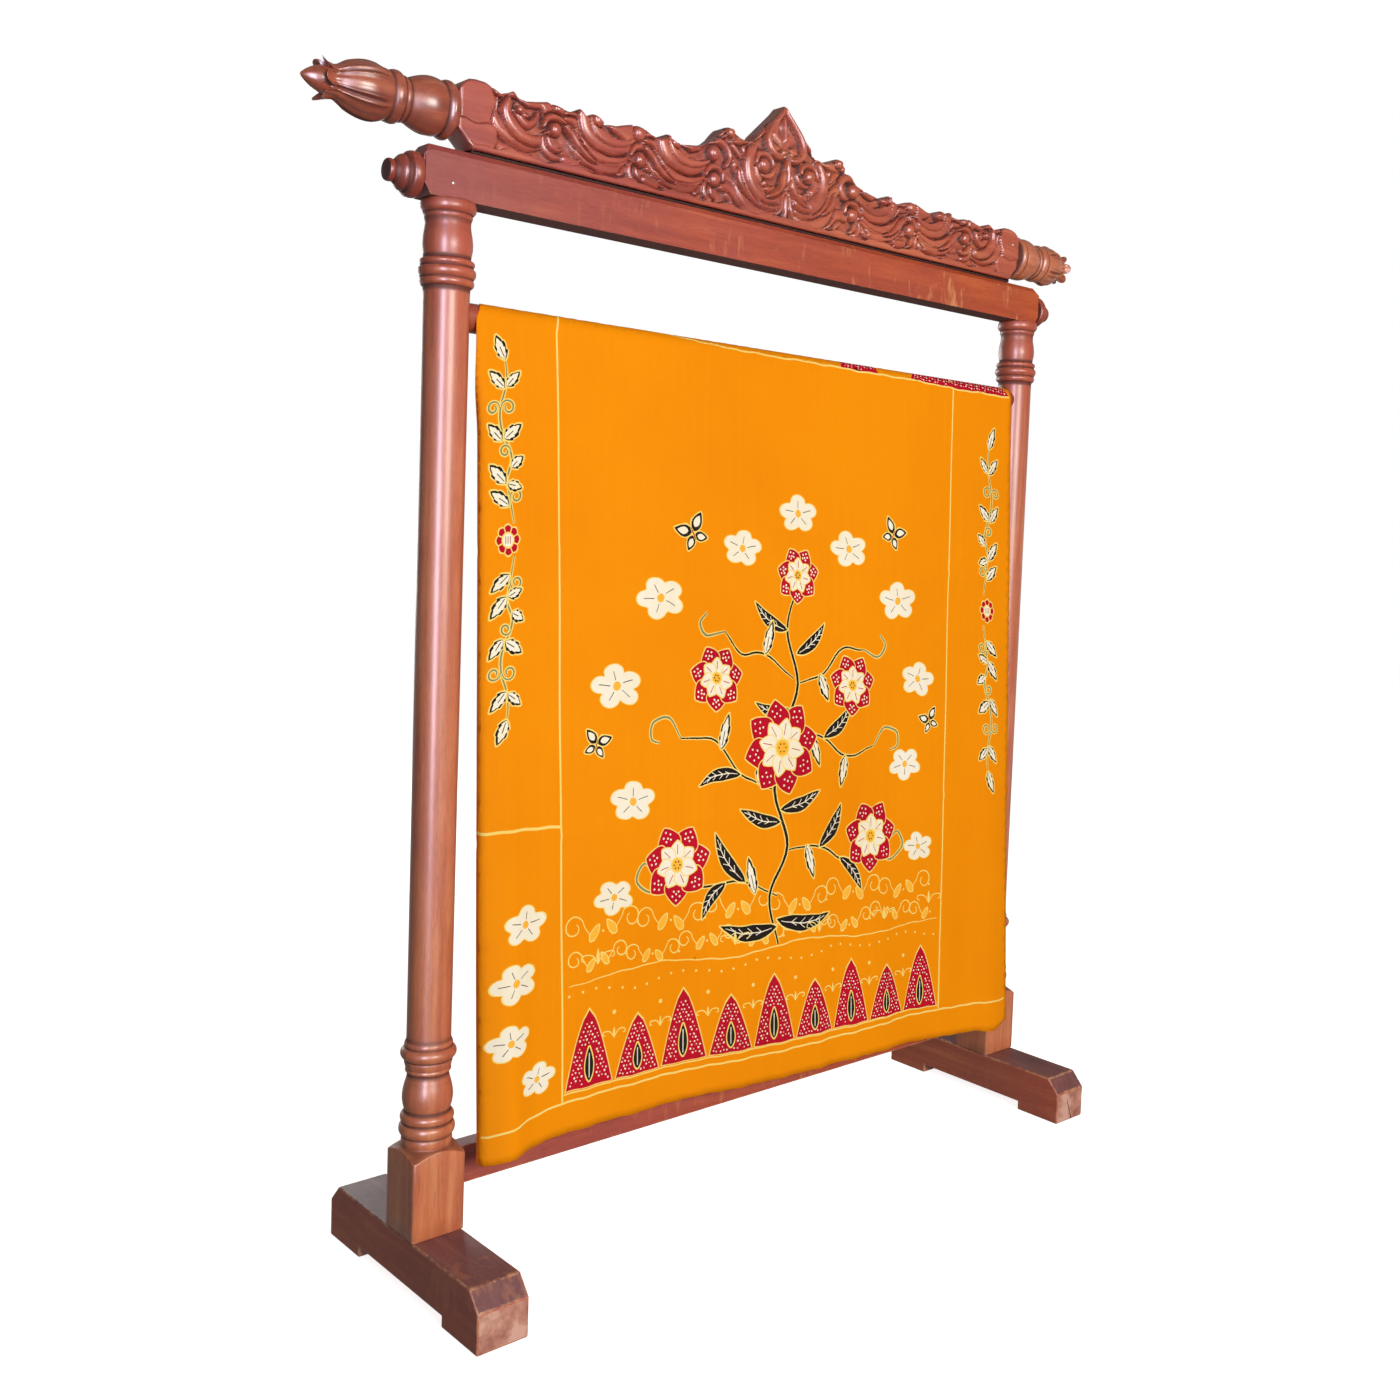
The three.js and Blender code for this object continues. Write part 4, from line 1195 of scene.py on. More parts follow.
# half a vine, upwards from its flower, as shares of the vine's half length and millimetres across
VINE_STEM = [(10, 0.08), (4, 0.19), (1, 0.25), (-2, 0.30), (6, 0.39), (3, 0.45), (-7, 0.52), (-12, 0.60),
             (-10, 0.67), (-4, 0.74), (-1, 0.82), (-3, 0.89)]
VINE_LEAVES = [((2, 0.17), (-27, 0.25), 18), ((-3, 0.28), (-28, 0.38), 19.2), ((0, 0.28), (23, 0.25), 15.6),
               ((6, 0.36), (25, 0.41), 16.8), ((-9, 0.49), (-30, 0.58), 16.8),
               ((-5, 0.50), (22, 0.57), 19.2), ((-4, 0.75), (-28, 0.84), 16.8),
               ((-1, 0.76), (20, 0.83), 15.6), ((-3, 0.89), (-18, 1.01), 18)]
VINE_CURLS = [((3, 0.18), 10, 1), ((5, 0.41), 9, -1), ((-10, 0.62), 11, 1), ((-12, 0.62), 10, -1)]


def vine(x, y, half, mirror):
    """A climbing vine through one flower, its lower half the upper one turned over."""
    for turned_over in (1, -1):
        def place(point):
            return (x + mirror * point[0], y + turned_over * point[1] * half)

        tendril([place(point) for point in VINE_STEM])
        for base, reach, side in VINE_CURLS:
            local = curl_points((base[0], base[1] * half), reach, side)
            tendril([(x + mirror * px, y + turned_over * py) for px, py in local], 2.2)
        for base, tip, width in VINE_LEAVES:
            vine_leaf(place(base), place(tip), width)
    small_flower(x, y, 18)


def frame_line(points, width):
    """A waxed line drawn by hand along a ruler, so it is not quite straight."""
    points = np.asarray(points, dtype=float)
    total = np.linalg.norm(np.diff(points, axis=0), axis=1).sum()
    count = max(int(total / 26), 2)
    share = np.linspace(0, len(points) - 1, count)
    line = np.stack([np.interp(share, range(len(points)), points[:, k]) for k in (0, 1)], axis=1)
    phase = points[0, 0] * 0.13 + points[0, 1] * 0.07
    line[:, 0] += 0.45 * np.sin(line[:, 1] / 47 + phase)
    line[:, 1] += 0.45 * np.sin(line[:, 0] / 53 + phase)
    stroke(line, width, LINE, steps=2, taper=False)


def dotted(inside, x_range, y_range, pitch, size):
    """Rows of wax dots, a traditional filler, wherever inside(x, y) holds."""
    rows = int((y_range[1] - y_range[0]) / (pitch * 0.86)) + 1
    columns = int((x_range[1] - x_range[0]) / pitch) + 1
    for j in range(rows):
        for i in range(columns):
            x = x_range[0] + (i + 0.5 * (j % 2)) * pitch + 0.9 * math.sin(i * 2.3 + j * 1.7)
            y = y_range[0] + j * pitch * 0.86 + 0.8 * math.sin(i * 1.9 - j * 2.9)
            if inside(x, y):
                blob(x, y, size * (0.85 + 0.25 * math.sin(i * 3.1 + j)), WHITE, 5, i + j)


def spear(x, base, width, height):
    """One triangle of the border: red with wax dots, in a pale outline, round a small black leaf."""
    def outline(grow):
        share = np.linspace(0, 1, 9)
        half = (width / 2 + grow) * (1 - share) ** 0.66
        rise = base - grow * 0.6 + (height + 2.6 * grow) * share
        return np.vstack([np.stack([x - half, rise], axis=1), np.stack([x + half, rise], axis=1)[::-1][1:]])

    paint(outline(2.0), LINE)
    paint(outline(0.0), RED)

    def inside(px, py):
        share = (py - base) / height
        if not 0.05 < share < 0.86:
            return False
        away = abs(px - x)
        in_leaf = away < 13 and 0.08 < share < 0.56
        return away < (width / 2) * (1 - share) ** 0.66 - 3.4 and not in_leaf

    dotted(inside, (x - width / 2, x + width / 2), (base + 5, base + height), 6.8, 1.7)
    outlined_leaf((x, base + 8), (x, base + height * 0.52), 15, BLACK, grow=1.8)
    stroke([(x, base + 13), (x, base + height * 0.44)], 1.5, WHITE, taper=False)


def long_leaf(base, tip, width, bow):
    """A long bent black leaf with a pale outline and white veins."""
    outlined_leaf(base, tip, width, BLACK, bow, 1.9)
    base, axis, side = leaf_axes(base, tip)

    def on_vein(share):
        return base + axis * share + side * bow * math.sin(math.pi * share)

    stroke([on_vein(s) for s in (0.08, 0.35, 0.62, 0.9)], 1.7, WHITE, 3)
    for s in (0.26, 0.42, 0.58, 0.72):
        foot = on_vein(s)
        for edge in (1, -1):
            out = foot + axis * 0.10 + side * edge * width * 0.33 * math.sin(math.pi * s)
            stroke([foot, out], 1.2, WHITE, taper=False)


def large_flower(x, y, radius, petals=7):
    """An open flower with two rings of petals: red with wax dots outside, white inside."""
    for reach, inner, dye, turn in (
            (radius, radius * 0.30, RED, 0.0), (radius * 0.60, radius * 0.12, WHITE, math.pi / petals)):
        for k in range(petals):
            a = 2 * math.pi * k / petals + turn + 0.2
            tip = (x + reach * math.cos(a), y + reach * math.sin(a))
            base = (x + inner * math.cos(a), y + inner * math.sin(a))
            wide = 2 * math.pi * reach / petals * 0.80
            outlined_leaf(base, tip, wide, dye)
            if dye == RED:
                for share, aside in (
                        (0.60, 0.0), (0.70, 0.26), (0.70, -0.26), (0.82, 0.0), (0.52, 0.2), (0.52, -0.2)):
                    far = inner + (reach - inner) * share
                    dot_angle = a + aside * 0.55
                    blob(x + far * math.cos(dot_angle), y + far * math.sin(dot_angle), 1.9, WHITE, 5, k)
            else:
                ray(x, y, reach * 0.45, reach * 0.86, a, 1.3, RED)
    blob(x, y, radius * 0.20, LINE, 14)
    blob(x, y, radius * 0.16, GOLD, 14)
    for k in range(6):
        a = k * math.pi / 3
        blob(x + radius * 0.09 * math.cos(a), y + radius * 0.09 * math.sin(a), 1.5, BLACK, 5)


def white_blossom(x, y, radius, turn=0.0):
    """A small five-petalled blossom in white, with a gold eye."""
    angles = np.linspace(0, 2 * math.pi, 50, endpoint=False)
    lobes = 0.62 + 0.38 * abs(np.cos((angles - turn) * 2.5)) ** 0.7
    for grow, dye in ((1.8, LINE), (0.0, WHITE)):
        reach = radius * lobes + grow
        paint(round_outline(x, y, 1.25 * reach, 0.9 * reach, angles), dye)
    for k in range(5):
        a = turn + 2 * math.pi * k / 5
        stroke([(x + 0.34 * radius * math.cos(a), y + 0.25 * radius * math.sin(a)),
                (x + 0.9 * radius * math.cos(a), y + 0.62 * radius * math.sin(a))], 1.1, BLACK, taper=False)
    blob(x, y, radius * 0.20, GOLD, 8)


def butterfly(x, y, size, turn):
    """A small butterfly with white wings edged in black."""
    cosine, sine = math.cos(turn), math.sin(turn)

    def place(px, py):
        return (x + size * (px * cosine - py * sine), y + size * (px * sine + py * cosine))

    for side in (1, -1):
        for base, tip, wide in (((0.05, 0.1), (0.95, 0.75), 0.62), ((0.05, -0.1), (0.70, -0.62), 0.50)):
            start = place(side * base[0], base[1])
            stop = place(side * tip[0], tip[1])
            outlined_leaf(start, stop, wide * size, BLACK)
            inner_start = place(side * (base[0] * 0.6 + tip[0] * 0.4) * 0.55, (base[1] + tip[1]) * 0.30)
            inner_stop = place(side * tip[0] * 0.84, tip[1] * 0.84)
            paint(leaf_outline(inner_start, inner_stop, wide * size * 0.62), WHITE)
    stroke([place(0, -0.42), place(0, 0.0), place(0, 0.42)], size * 0.14, LINE)
    stroke([place(0, -0.36), place(0, 0.0), place(0, 0.36)], size * 0.07, RED)
    for side in (1, -1):
        stroke([place(0, 0.4), place(side * 0.16, 0.66), place(side * 0.34, 0.74)], 1.3, LINE)


def grass_lines(x, y, reach):
    """Light lines that curl out of the ground between the triangles."""
    for side in (1, -1):
        stroke([(x, y), (x + side * reach * 0.4, y + reach * 0.55), (x + side * reach, y + reach * 0.62),
                (x + side * reach * 1.1, y + reach * 0.34), (x + side * reach * 0.86, y + reach * 0.30)],
               1.9, LINE)
    paint(leaf_outline((x, y), (x, y + reach * 0.9), reach * 0.22), LINE)


# the front's frame lines, as across and up, and its border of triangles
FRAME_LEFT = [(125.5, 1176.0), (131.0, 900.0), (134.0, 620.0), (137.0, 300.0), (139.0, 46.0)]
FRAME_RIGHT = [(967.0, 1180.0), (962.0, 900.0), (955.0, 600.0), (947.0, 300.0), (943.0, 54.0)]
FRAME_BOTTOM = [(8, 40), (120, 44), (300, 46), (560, 44), (800, 47), (960, 51), (1123, 53)]
STRIP_LINE = [(0.6, 457), (60, 450), (134.5, 443)]
BORDER_LEFT, BORDER_RIGHT, BORDER_UP = 141, 941, 60.0
SPEARS = 9


def paint_front():
    """Frame lines and vines, the border of triangles with lines and scrolls over it, and the spray."""
    for points, width in ((FRAME_LEFT, 3.0), (FRAME_RIGHT, 3.0), (FRAME_BOTTOM, 3.0), (STRIP_LINE, 4.2)):
        frame_line(points, width)
    vine(47, 852, 276, 1)
    vine(1066, 783, 336, -1)
    pitch = (BORDER_RIGHT - BORDER_LEFT) / SPEARS
    frame_line([(142, 56), (400, 57), (700, 57), (941, 59)], 2.0)
    for k in range(SPEARS):
        spear(BORDER_LEFT + pitch * (k + 0.5), BORDER_UP, pitch - 7, 112 if k % 2 == 0 else 90)
    for k in range(1, SPEARS):
        grass_lines(BORDER_LEFT + pitch * k, BORDER_UP + 62, 18)
        blob(BORDER_LEFT + pitch * k, BORDER_UP + 100, 3.4, LINE, 8)
    for k in range(34):
        blob(150 + k * 23.6, 196 + 5 * math.sin(k * 0.9), 2.2, LINE, 6)
    stroke([(150, 210), (300, 222), (450, 210), (600, 222), (760, 210), (935, 220)], 2.2, LINE, 8)
    scroll_band(232, 15, 15)
    scroll_band(276, 12, 19)
    paint_spray()


def scroll_band(y, count, reach):
    """A row of pale curls and small gold leaves, each turned the other way from the one beside it."""
    pitch = 770 / count
    for k in range(count):
        x = 164 + pitch * k
        side = 1 if k % 2 else -1
        rise = y + 6 * math.sin(k * 1.7)
        curl = curl_points((x + pitch * 0.2, rise), reach, side)
        stroke([(x + pitch * 0.2 - side * reach * 0.9, rise - reach * 0.3)] + curl, 2.2, LINE, 4)
        leaf_tip = (x + pitch * 0.2 - side * reach * 1.3, rise + reach * 0.9)
        leaf_foot = (x + pitch * 0.2 - side * reach * 0.5, rise - reach * 0.2)
        outlined_leaf(leaf_foot, leaf_tip, reach * 0.62, GOLD, grow=1.5)
        blob(x + pitch * 0.7, rise + reach * 0.4, 2.2, LINE, 6)


def paint_spray():
    """A flowering branch: a stem that winds upwards, flowers, long leaves and blossoms beside it."""
    stem = [(548, 222), (530, 300), (566, 380), (540, 470), (556, 560), (590, 640), (566, 730), (590, 800)]
    branches = [
        [(545, 300), (470, 330), (400, 326), (348, 352)],
        [(560, 372), (640, 372), (700, 344), (762, 362)],
        [(543, 470), (470, 500), (420, 552), (352, 560)],
        [(560, 560), (640, 556), (700, 520), (770, 536)],
        [(580, 650), (520, 690), (470, 690), (436, 724)],
        [(584, 640), (650, 660), (690, 700), (742, 700)],
    ]
    for branch in branches:
        stroke(branch, 7.0, LINE)
        stroke(branch, 3.2, BLACK)
    stroke(stem, 9.5, LINE)
    stroke(stem, 5.4, BLACK)
    for base, tip, wide, bow in (
            ((545, 250), (430, 262), 26, 12), ((545, 262), (664, 258), 26, -12),
            ((480, 328), (420, 408), 24, 9), ((640, 372), (690, 440), 24, -9),
            ((552, 420), (470, 444), 22, 8), ((552, 440), (640, 466), 22, -8),
            ((470, 500), (388, 484), 20, -8), ((650, 552), (712, 604), 22, -8),
            ((572, 600), (500, 612), 20, 8), ((588, 690), (650, 742), 20, -8),
            ((566, 730), (498, 772), 20, 8), ((440, 330), (396, 276), 20, -8),
            ((690, 348), (742, 290), 20, 8)):
        long_leaf(base, tip, wide, bow)
    for base, tip in (((500, 306), (486, 366)), ((610, 376), (626, 320)), ((506, 484), (520, 536)),
                      ((620, 558), (640, 506)), ((430, 540), (446, 596)), ((700, 520), (690, 468)),
                      ((520, 690), (536, 744)), ((640, 658), (660, 612))):
        vine_leaf(base, tip, 19)
    for path in ([(352, 560), (330, 590), (300, 586), (296, 562), (312, 554)],
                 [(770, 536), (796, 566), (828, 558), (830, 534), (812, 528)],
                 [(348, 352), (300, 330), (270, 350), (282, 374), (300, 366)],
                 [(762, 362), (812, 336), (846, 356), (834, 382), (814, 374)],
                 [(436, 724), (400, 716), (386, 736), (400, 752)],
                 [(742, 700), (778, 688), (796, 708), (782, 726)]):
        tendril(path, 3.0)
    large_flower(556, 540, 78, 8)
    for x, y, radius in ((348, 366, 62), (764, 380, 62), (420, 650, 52), (716, 640, 52), (590, 818, 46)):
        large_flower(x, y, radius)
    for x, y, radius, turn in (
            (262, 470, 33, 0.3), (850, 500, 31, 0.9), (232, 640, 36, 0.5), (880, 650, 33, 0.1),
            (312, 772, 35, 0.7), (826, 786, 36, 0.4), (470, 856, 31, 0.2), (706, 868, 33, 0.6),
            (228, 330, 28, 0.8), (886, 352, 28, 0.5), (590, 918, 33, 0.35)):
        white_blossom(x, y, radius, turn)
    for x, y, size, turn in (
            (372, 872, 30, 0.5), (812, 900, 28, -0.5), (196, 556, 24, -0.3), (912, 576, 24, 0.4)):
        butterfly(x, y, size, turn)
    for x, y in ((200, 250), (460, 244), (640, 244), (800, 246), (915, 262)):
        grass_lines(x, y - 14, 26)
    # small white blossoms in the lower part of the left strip
    for x, y, radius, turn in (
            (74, 316, 29, 0.2), (56, 240, 30, 0.6), (46, 160, 27, 0.4), (94, 94, 25, 0.1)):
        white_blossom(x, y, radius, turn)


# the frame line of the cloth's other end, where it lies over the rail: across, up
BACK_LINE = [(6, 1191), (126, 1185), (266, 1177), (400, 1164), (520, 1165), (650, 1167), (800, 1172.5),
             (900, 1174), (966, 1175.5), (1054, 1181.5), (1125, 1187)]


def line_at(across):
    return np.interp(across, [x for x, _ in BACK_LINE], [y for _, y in BACK_LINE])


def paint_back():
    """The other end of the cloth: its frame line just over the rail, dotted red ground and sprays."""
    frame_line(BACK_LINE, 3.2)

    def hill(x0, x1, rise, lean=0.0):
        share = np.linspace(0, 1, 19)
        base_line = line_at(x0 + (x1 - x0) * share) + 1.6
        crown = base_line + rise * np.sin(math.pi * share ** (1 + lean)) ** 0.45

        def outline(grow):
            upper_line = np.stack([x0 + (x1 - x0) * share, crown + grow], axis=1)
            lower_line = np.stack([x0 + (x1 - x0) * share, base_line - 0.2 + 0 * share], axis=1)
            return np.vstack([lower_line, upper_line[::-1][1:-1]])

        paint(outline(2.4), LINE)
        paint(outline(0.0), RED)

        def inside(px, py):
            if not x0 + 5 < px < x1 - 5:
                return False
            here = (px - x0) / (x1 - x0)
            floor = line_at(px) + 1.6
            roof = floor + rise * math.sin(math.pi * here ** (1 + lean)) ** 0.45
            return floor + 3.2 < py < roof - 3.2

        dotted(inside, (x0, x1), (line_at(x0), line_at(x1) + rise), 7.4, 1.8)

    hill(684, 774, 42)
    hill(856, 1123, 74, 0.1)
    for points in (
            [(126, 1166), (128, 1600), (130, 2000), (130, 2350)],
            [(966, 1186), (962, 1600), (958, 2000), (956, 2350)],
            [(10, 2352), (400, 2350), (800, 2352), (1120, 2350)]):
        frame_line(points, 3.0)
    vine(62, 1800, 300, -1)
    vine(1062, 1800, 300, 1)
    for x, y in ((330, 1420), (720, 1500), (400, 1720), (760, 1800), (330, 2040), (700, 2140)):
        large_flower(x, y, 42)
        long_leaf((x - 40, y - 16), (x - 120, y - 44), 24, 9)
        long_leaf((x + 40, y - 16), (x + 118, y - 52), 24, -9)
        vine_leaf((x + 10, y + 44), (x + 40, y + 96), 19)
        tendril([(x - 12, y + 44), (x - 24, y + 76), (x - 52, y + 84), (x - 60, y + 64), (x - 46, y + 56)],
                2.6)
    for x, y in ((540, 1400), (880, 1640), (250, 1580), (560, 1930), (880, 2010), (520, 2270), (250, 1880)):
        white_blossom(x, y, 24, 0.4)


# the flat cloth is cut tile by tile, which is much quicker than all at once
TILES_ACROSS = [0.0, 377.0, 754.0, CLOTH_WIDTH]
TILES_UP = [*np.arange(0.0, 1200.0, 100.0), 1200.0, 1260.0, *np.arange(1400.0, CLOTH_LENGTH + 1, 200.0)]
# places of points along the tiles' edges, the same for both faces of the cloth
STOPS_ACROSS = np.linspace(0, CLOTH_WIDTH, 112)
STOPS_UP = np.concatenate([
    np.arange(0, 1140, 10.0), np.arange(1140, 1260, 5.0), np.arange(1260, CLOTH_LENGTH + 1, 10.0)])
FINE_STEP, COARSE_STEP = 12.0, 20.0
FRONT_NET_END = 1136              # up to here the net keeps its step; over the rail it is closer


def net_points(step):
    """A net of points that lets the cloth bend, closer over the rail and at its left edge."""
    over_rail, back = np.arange(1142.5, 1260, 5.0), np.arange(1276, 2392, 20.0)
    ups = [*np.arange(step, FRONT_NET_END, step), *over_rail, *back]
    net = []
    for n, up in enumerate(ups):
        gap = step if up < FRONT_NET_END else 22.0
        shift = gap / 2 if n % 2 else 0.0
        line = [3.0, 6.0, 9.5, 13.0, 17.0, 24.0, 32.0, *np.arange(42 + shift, CLOTH_WIDTH - 4, gap)]
        net += [(across, up) for across in line]
    return np.array(net)


def within(outline, points):
    """Which points the outline winds round."""
    winding = np.zeros(len(points), dtype=int)
    following = np.roll(outline, -1, axis=0)
    px, py = points[:, 0], points[:, 1]
    for (ax, ay), (bx, by) in zip(outline, following):
        if ay == by:
            continue
        crosses = (ay <= py) != (by <= py)
        left = (bx - ax) * (py - ay) - (px - ax) * (by - ay)
        winding += np.where(crosses & (by > ay) & (left > 0), 1, 0)
        winding -= np.where(crosses & (by < ay) & (left < 0), 1, 0)
    return winding != 0


def cut_tile(low, high, shapes, net):
    """Triangles of one tile of the flat cloth, each with the dye that was laid last over it."""
    inside_x = STOPS_ACROSS[(STOPS_ACROSS > low[0] + 0.1) & (STOPS_ACROSS < high[0] - 0.1)]
    inside_y = STOPS_UP[(STOPS_UP > low[1] + 0.1) & (STOPS_UP < high[1] - 0.1)]
    border = [tuple(low)] + [(x, low[1]) for x in inside_x] + [(high[0], low[1])]
    border += [(high[0], y) for y in inside_y] + [tuple(high)]
    border += [(x, high[1]) for x in inside_x[::-1]] + [(low[0], high[1])]
    border += [(low[0], y) for y in inside_y[::-1]]
    points = list(border)
    edges = [(i, (i + 1) % len(border)) for i in range(len(border))]
    for outline, _ in shapes:
        start = len(points)
        points += [tuple(p) for p in outline]
        edges += [(start + i, start + (i + 1) % len(outline)) for i in range(len(outline))]
    clear = np.all((net > np.array(low) + 1.5) & (net < np.array(high) - 1.5), axis=1)
    points += [tuple(p) for p in net[clear]]
    cut, _, faces, _, _, _ = delaunay_2d_cdt(points, edges, [], 0, 1e-4, False)
    flat = np.array([tuple(v) for v in cut])
    faces = np.array([tuple(f) for f in faces if len(f) == 3])
    centres = flat[faces].mean(axis=1)
    kept = np.all((centres > low) & (centres < high), axis=1)
    faces, centres = faces[kept], centres[kept]
    dyes = np.zeros(len(faces), dtype=int)
    for outline, dye in shapes:
        lowest, highest = outline.min(axis=0), outline.max(axis=0)
        near = np.flatnonzero(np.all((centres > lowest) & (centres < highest), axis=1))
        if len(near):
            dyes[near[within(outline, centres[near])]] = dye
    return flat, faces, dyes


def cut_cloth(shapes, net):
    """All tiles joined: points, triangles and the dye of each triangle."""
    margin = 0.4
    limits = [CLOTH_WIDTH - margin, CLOTH_LENGTH - margin]
    shapes = [(np.clip(outline, [margin, margin], limits), dye) for outline, dye in shapes]
    spans = [(outline.min(axis=0), outline.max(axis=0)) for outline, _ in shapes]
    every, triangles, dyes = [], [], []
    total = 0
    for y0, y1 in zip(TILES_UP, TILES_UP[1:]):
        for x0, x1 in zip(TILES_ACROSS, TILES_ACROSS[1:]):
            here = [shape for shape, (lowest, highest) in zip(shapes, spans)
                    if highest[0] > x0 and lowest[0] < x1 and highest[1] > y0 and lowest[1] < y1]
            flat, faces, colours = cut_tile((x0, y0), (x1, y1), here, net)
            every.append(flat)
            triangles.append(faces + total)
            dyes.append(colours)
            total += len(flat)
    every = np.vstack(every)
    triangles = np.vstack(triangles)
    dyes = np.concatenate(dyes)
    _, first, merged = np.unique(np.round(every, 2), axis=0, return_index=True, return_inverse=True)
    triangles = merged.ravel()[triangles]
    whole = (triangles[:, 0] != triangles[:, 1]) & (triangles[:, 1] != triangles[:, 2]) & (
        triangles[:, 2] != triangles[:, 0])
    triangles, dyes = triangles[whole], dyes[whole]
    used, packed = np.unique(triangles, return_inverse=True)
    return every[first][used], packed.reshape(-1, 3), dyes


def draped_side(flat, side):
    """The flat points in place over the rail, half the cloth's thickness to one side of its middle."""
    step = 1.5
    ahead = drape(np.clip(flat[:, 0] + step, 0, CLOTH_WIDTH), flat[:, 1])
    behind = drape(np.clip(flat[:, 0] - step, 0, CLOTH_WIDTH), flat[:, 1])
    above = drape(flat[:, 0], np.clip(flat[:, 1] + step, 0, CLOTH_LENGTH))
    below = drape(flat[:, 0], np.clip(flat[:, 1] - step, 0, CLOTH_LENGTH))
    normal = np.cross(ahead - behind, above - below)
    normal /= np.linalg.norm(normal, axis=1)[:, None]
    return (drape(flat[:, 0], flat[:, 1]) + normal * side * CLOTH_THICK / 2) * MM


def border_edges(triangles):
    """Edges that only one triangle has, in that triangle's direction."""
    uses = set()
    for a, b, c in triangles.tolist():
        uses.update(((a, b), (b, c), (c, a)))
    return [(a, b) for a, b in uses if (b, a) not in uses]


def make_cloth():
    """The flat cloth cut along its artwork, draped over the rail, with a plainer face behind it."""
    paint_front()
    paint_back()
    flat, triangles, dyes = cut_cloth(artwork, net_points(FINE_STEP))
    # of the artwork, only the long lines are on the inner face
    long_lines = [shape for shape in artwork if len(shape[0]) > 150]
    flat_inner, triangles_inner, dyes_inner = cut_cloth(long_lines, net_points(COARSE_STEP))
    count = len(flat)
    vertices = np.vstack([draped_side(flat, 1), draped_side(flat_inner, -1)])
    # the selvedges and cut ends: both faces have the same points along the border
    inner_at = {tuple(np.round(p, 1)): i + count for i, p in enumerate(flat_inner)}
    rim = []
    for a, b in border_edges(triangles):
        behind_a = inner_at.get(tuple(np.round(flat[a], 1)))
        behind_b = inner_at.get(tuple(np.round(flat[b], 1)))
        if behind_a is not None and behind_b is not None:
            rim.append((b, a, behind_a, behind_b))
    faces = triangles.tolist() + (triangles_inner[:, ::-1] + count).tolist() + rim
    mesh = bpy.data.meshes.new("batik_cloth")
    mesh.from_pydata([tuple(v) for v in vertices], [], faces)
    for dye in cotton:
        mesh.materials.append(dye)
    indexes = np.concatenate([dyes, dyes_inner, np.zeros(len(rim), dtype=int)])
    mesh.polygons.foreach_set("material_index", indexes.astype(np.int32))
    mesh.polygons.foreach_set("use_smooth", [True] * len(mesh.polygons))
    layer = mesh.uv_layers.new(name="flat")
    both = np.vstack([flat, flat_inner]) * MM
    loops = np.empty(len(mesh.loops), dtype=np.int32)
    mesh.loops.foreach_get("vertex_index", loops)
    layer.data.foreach_set("uv", both[loops].astype(np.float32).ravel())
    mesh.update()
    made = put_in_scene("batik_cloth", mesh)
    stands_for(made, "cloth")


def rides_along(piece):
    """A small piece that rides on the one body and stands for no node."""
    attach(piece, "root")


# a nail's depth in front of the wood, and the share of its radius there
NAIL_ROWS = [(0.6, 1.0), (0.2, 1.0), (-0.3, 0.82), (-0.6, 0.45), (-0.7, 0.1)]


def make_nail(name, x, y, z, radius):
    """A small domed nail head, seen from the front."""
    angles = np.linspace(0, 2 * math.pi, 20, endpoint=False)
    rings = [np.stack([
        x + radius * share * np.cos(angles), y + depth + 0 * angles,
        z + radius * share * np.sin(angles)], axis=1) * MM for depth, share in NAIL_ROWS]
    rides_along(ring_mesh(name, rings, [nail_steel]))


# the drying crack in the right foot's front end: distance from its left side, height
CRACK_PLACES = [
    (43.4, 0.8), (46.2, 0.8), (41.5, 10), (37.6, 21), (32.6, 33), (27.8, 46), (30.4, 34), (35.4, 21)]


def make_crack():
    left, front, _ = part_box("foot_right")[0]
    places = [(left + x * MM, front - 0.12 * MM, z * MM) for x, z in CRACK_PLACES]
    crack = make_object("foot_right_crack", places, [range(len(places))], [crack_dark])
    rides_along(crack)


# Putting it together

for end, outward in (("left", -1), ("right", 1)):
    make_post("post_" + end)
    make_foot("foot_" + end)
    make_knob("knob_" + end, outward)
    make_finial("finial_" + end, outward)
make_stretcher()
make_beam()
make_crest()
make_cloth()
make_nail("beam_nail", -574.5, -22.5, 1500.4, 2.4)
make_nail("crest_nail", 572.5, -28.6, 1612.6, 2.6)
make_crack()
for slot_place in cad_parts["rail"].material_slots:
    slot_place.material = turned_dark


# Floor, light and camera

FLOOR_HALF, FLOOR_Z = 14, -0.0005
floor_paint = new_material("matt pale backdrop paint", {
    "Base Color": linear("#E9E7E4"), "Emission Color": linear("#FFFFFF"), "Emission Strength": 0.86,
    "Roughness": 0.9})[0]
corners = [(x * FLOOR_HALF, y * FLOOR_HALF, FLOOR_Z) for x, y in ((-1, -1), (1, -1), (1, 1), (-1, 1))]
floor = make_object("floor", corners, [(0, 1, 2, 3)], [floor_paint])
floor.visible_diffuse = False     # the sides near the floor stay as dark as in the photograph
floor.visible_glossy = False

# a plain white studio wall all round, seen but giving no light
WALL_ROWS = [(-1.0, 17.0), (9.0, 17.0), (14.0, 9.0)]     # height, radius
wall_paint = new_material("white studio wall", {
    "Base Color": linear("#000000"), "Specular IOR Level": 0.0, "Emission Color": linear("#FFFFFF"),
    "Emission Strength": 1.0})[0]
turns = np.linspace(0, 2 * math.pi, 48, endpoint=False)
wall_rings = [np.stack([reach * np.cos(turns), reach * np.sin(turns), height + 0 * turns], axis=1)
              for height, reach in WALL_ROWS]
wall = ring_mesh("studio_wall", wall_rings, [wall_paint])
wall.visible_diffuse = False
wall.visible_glossy = False
wall.visible_shadow = False

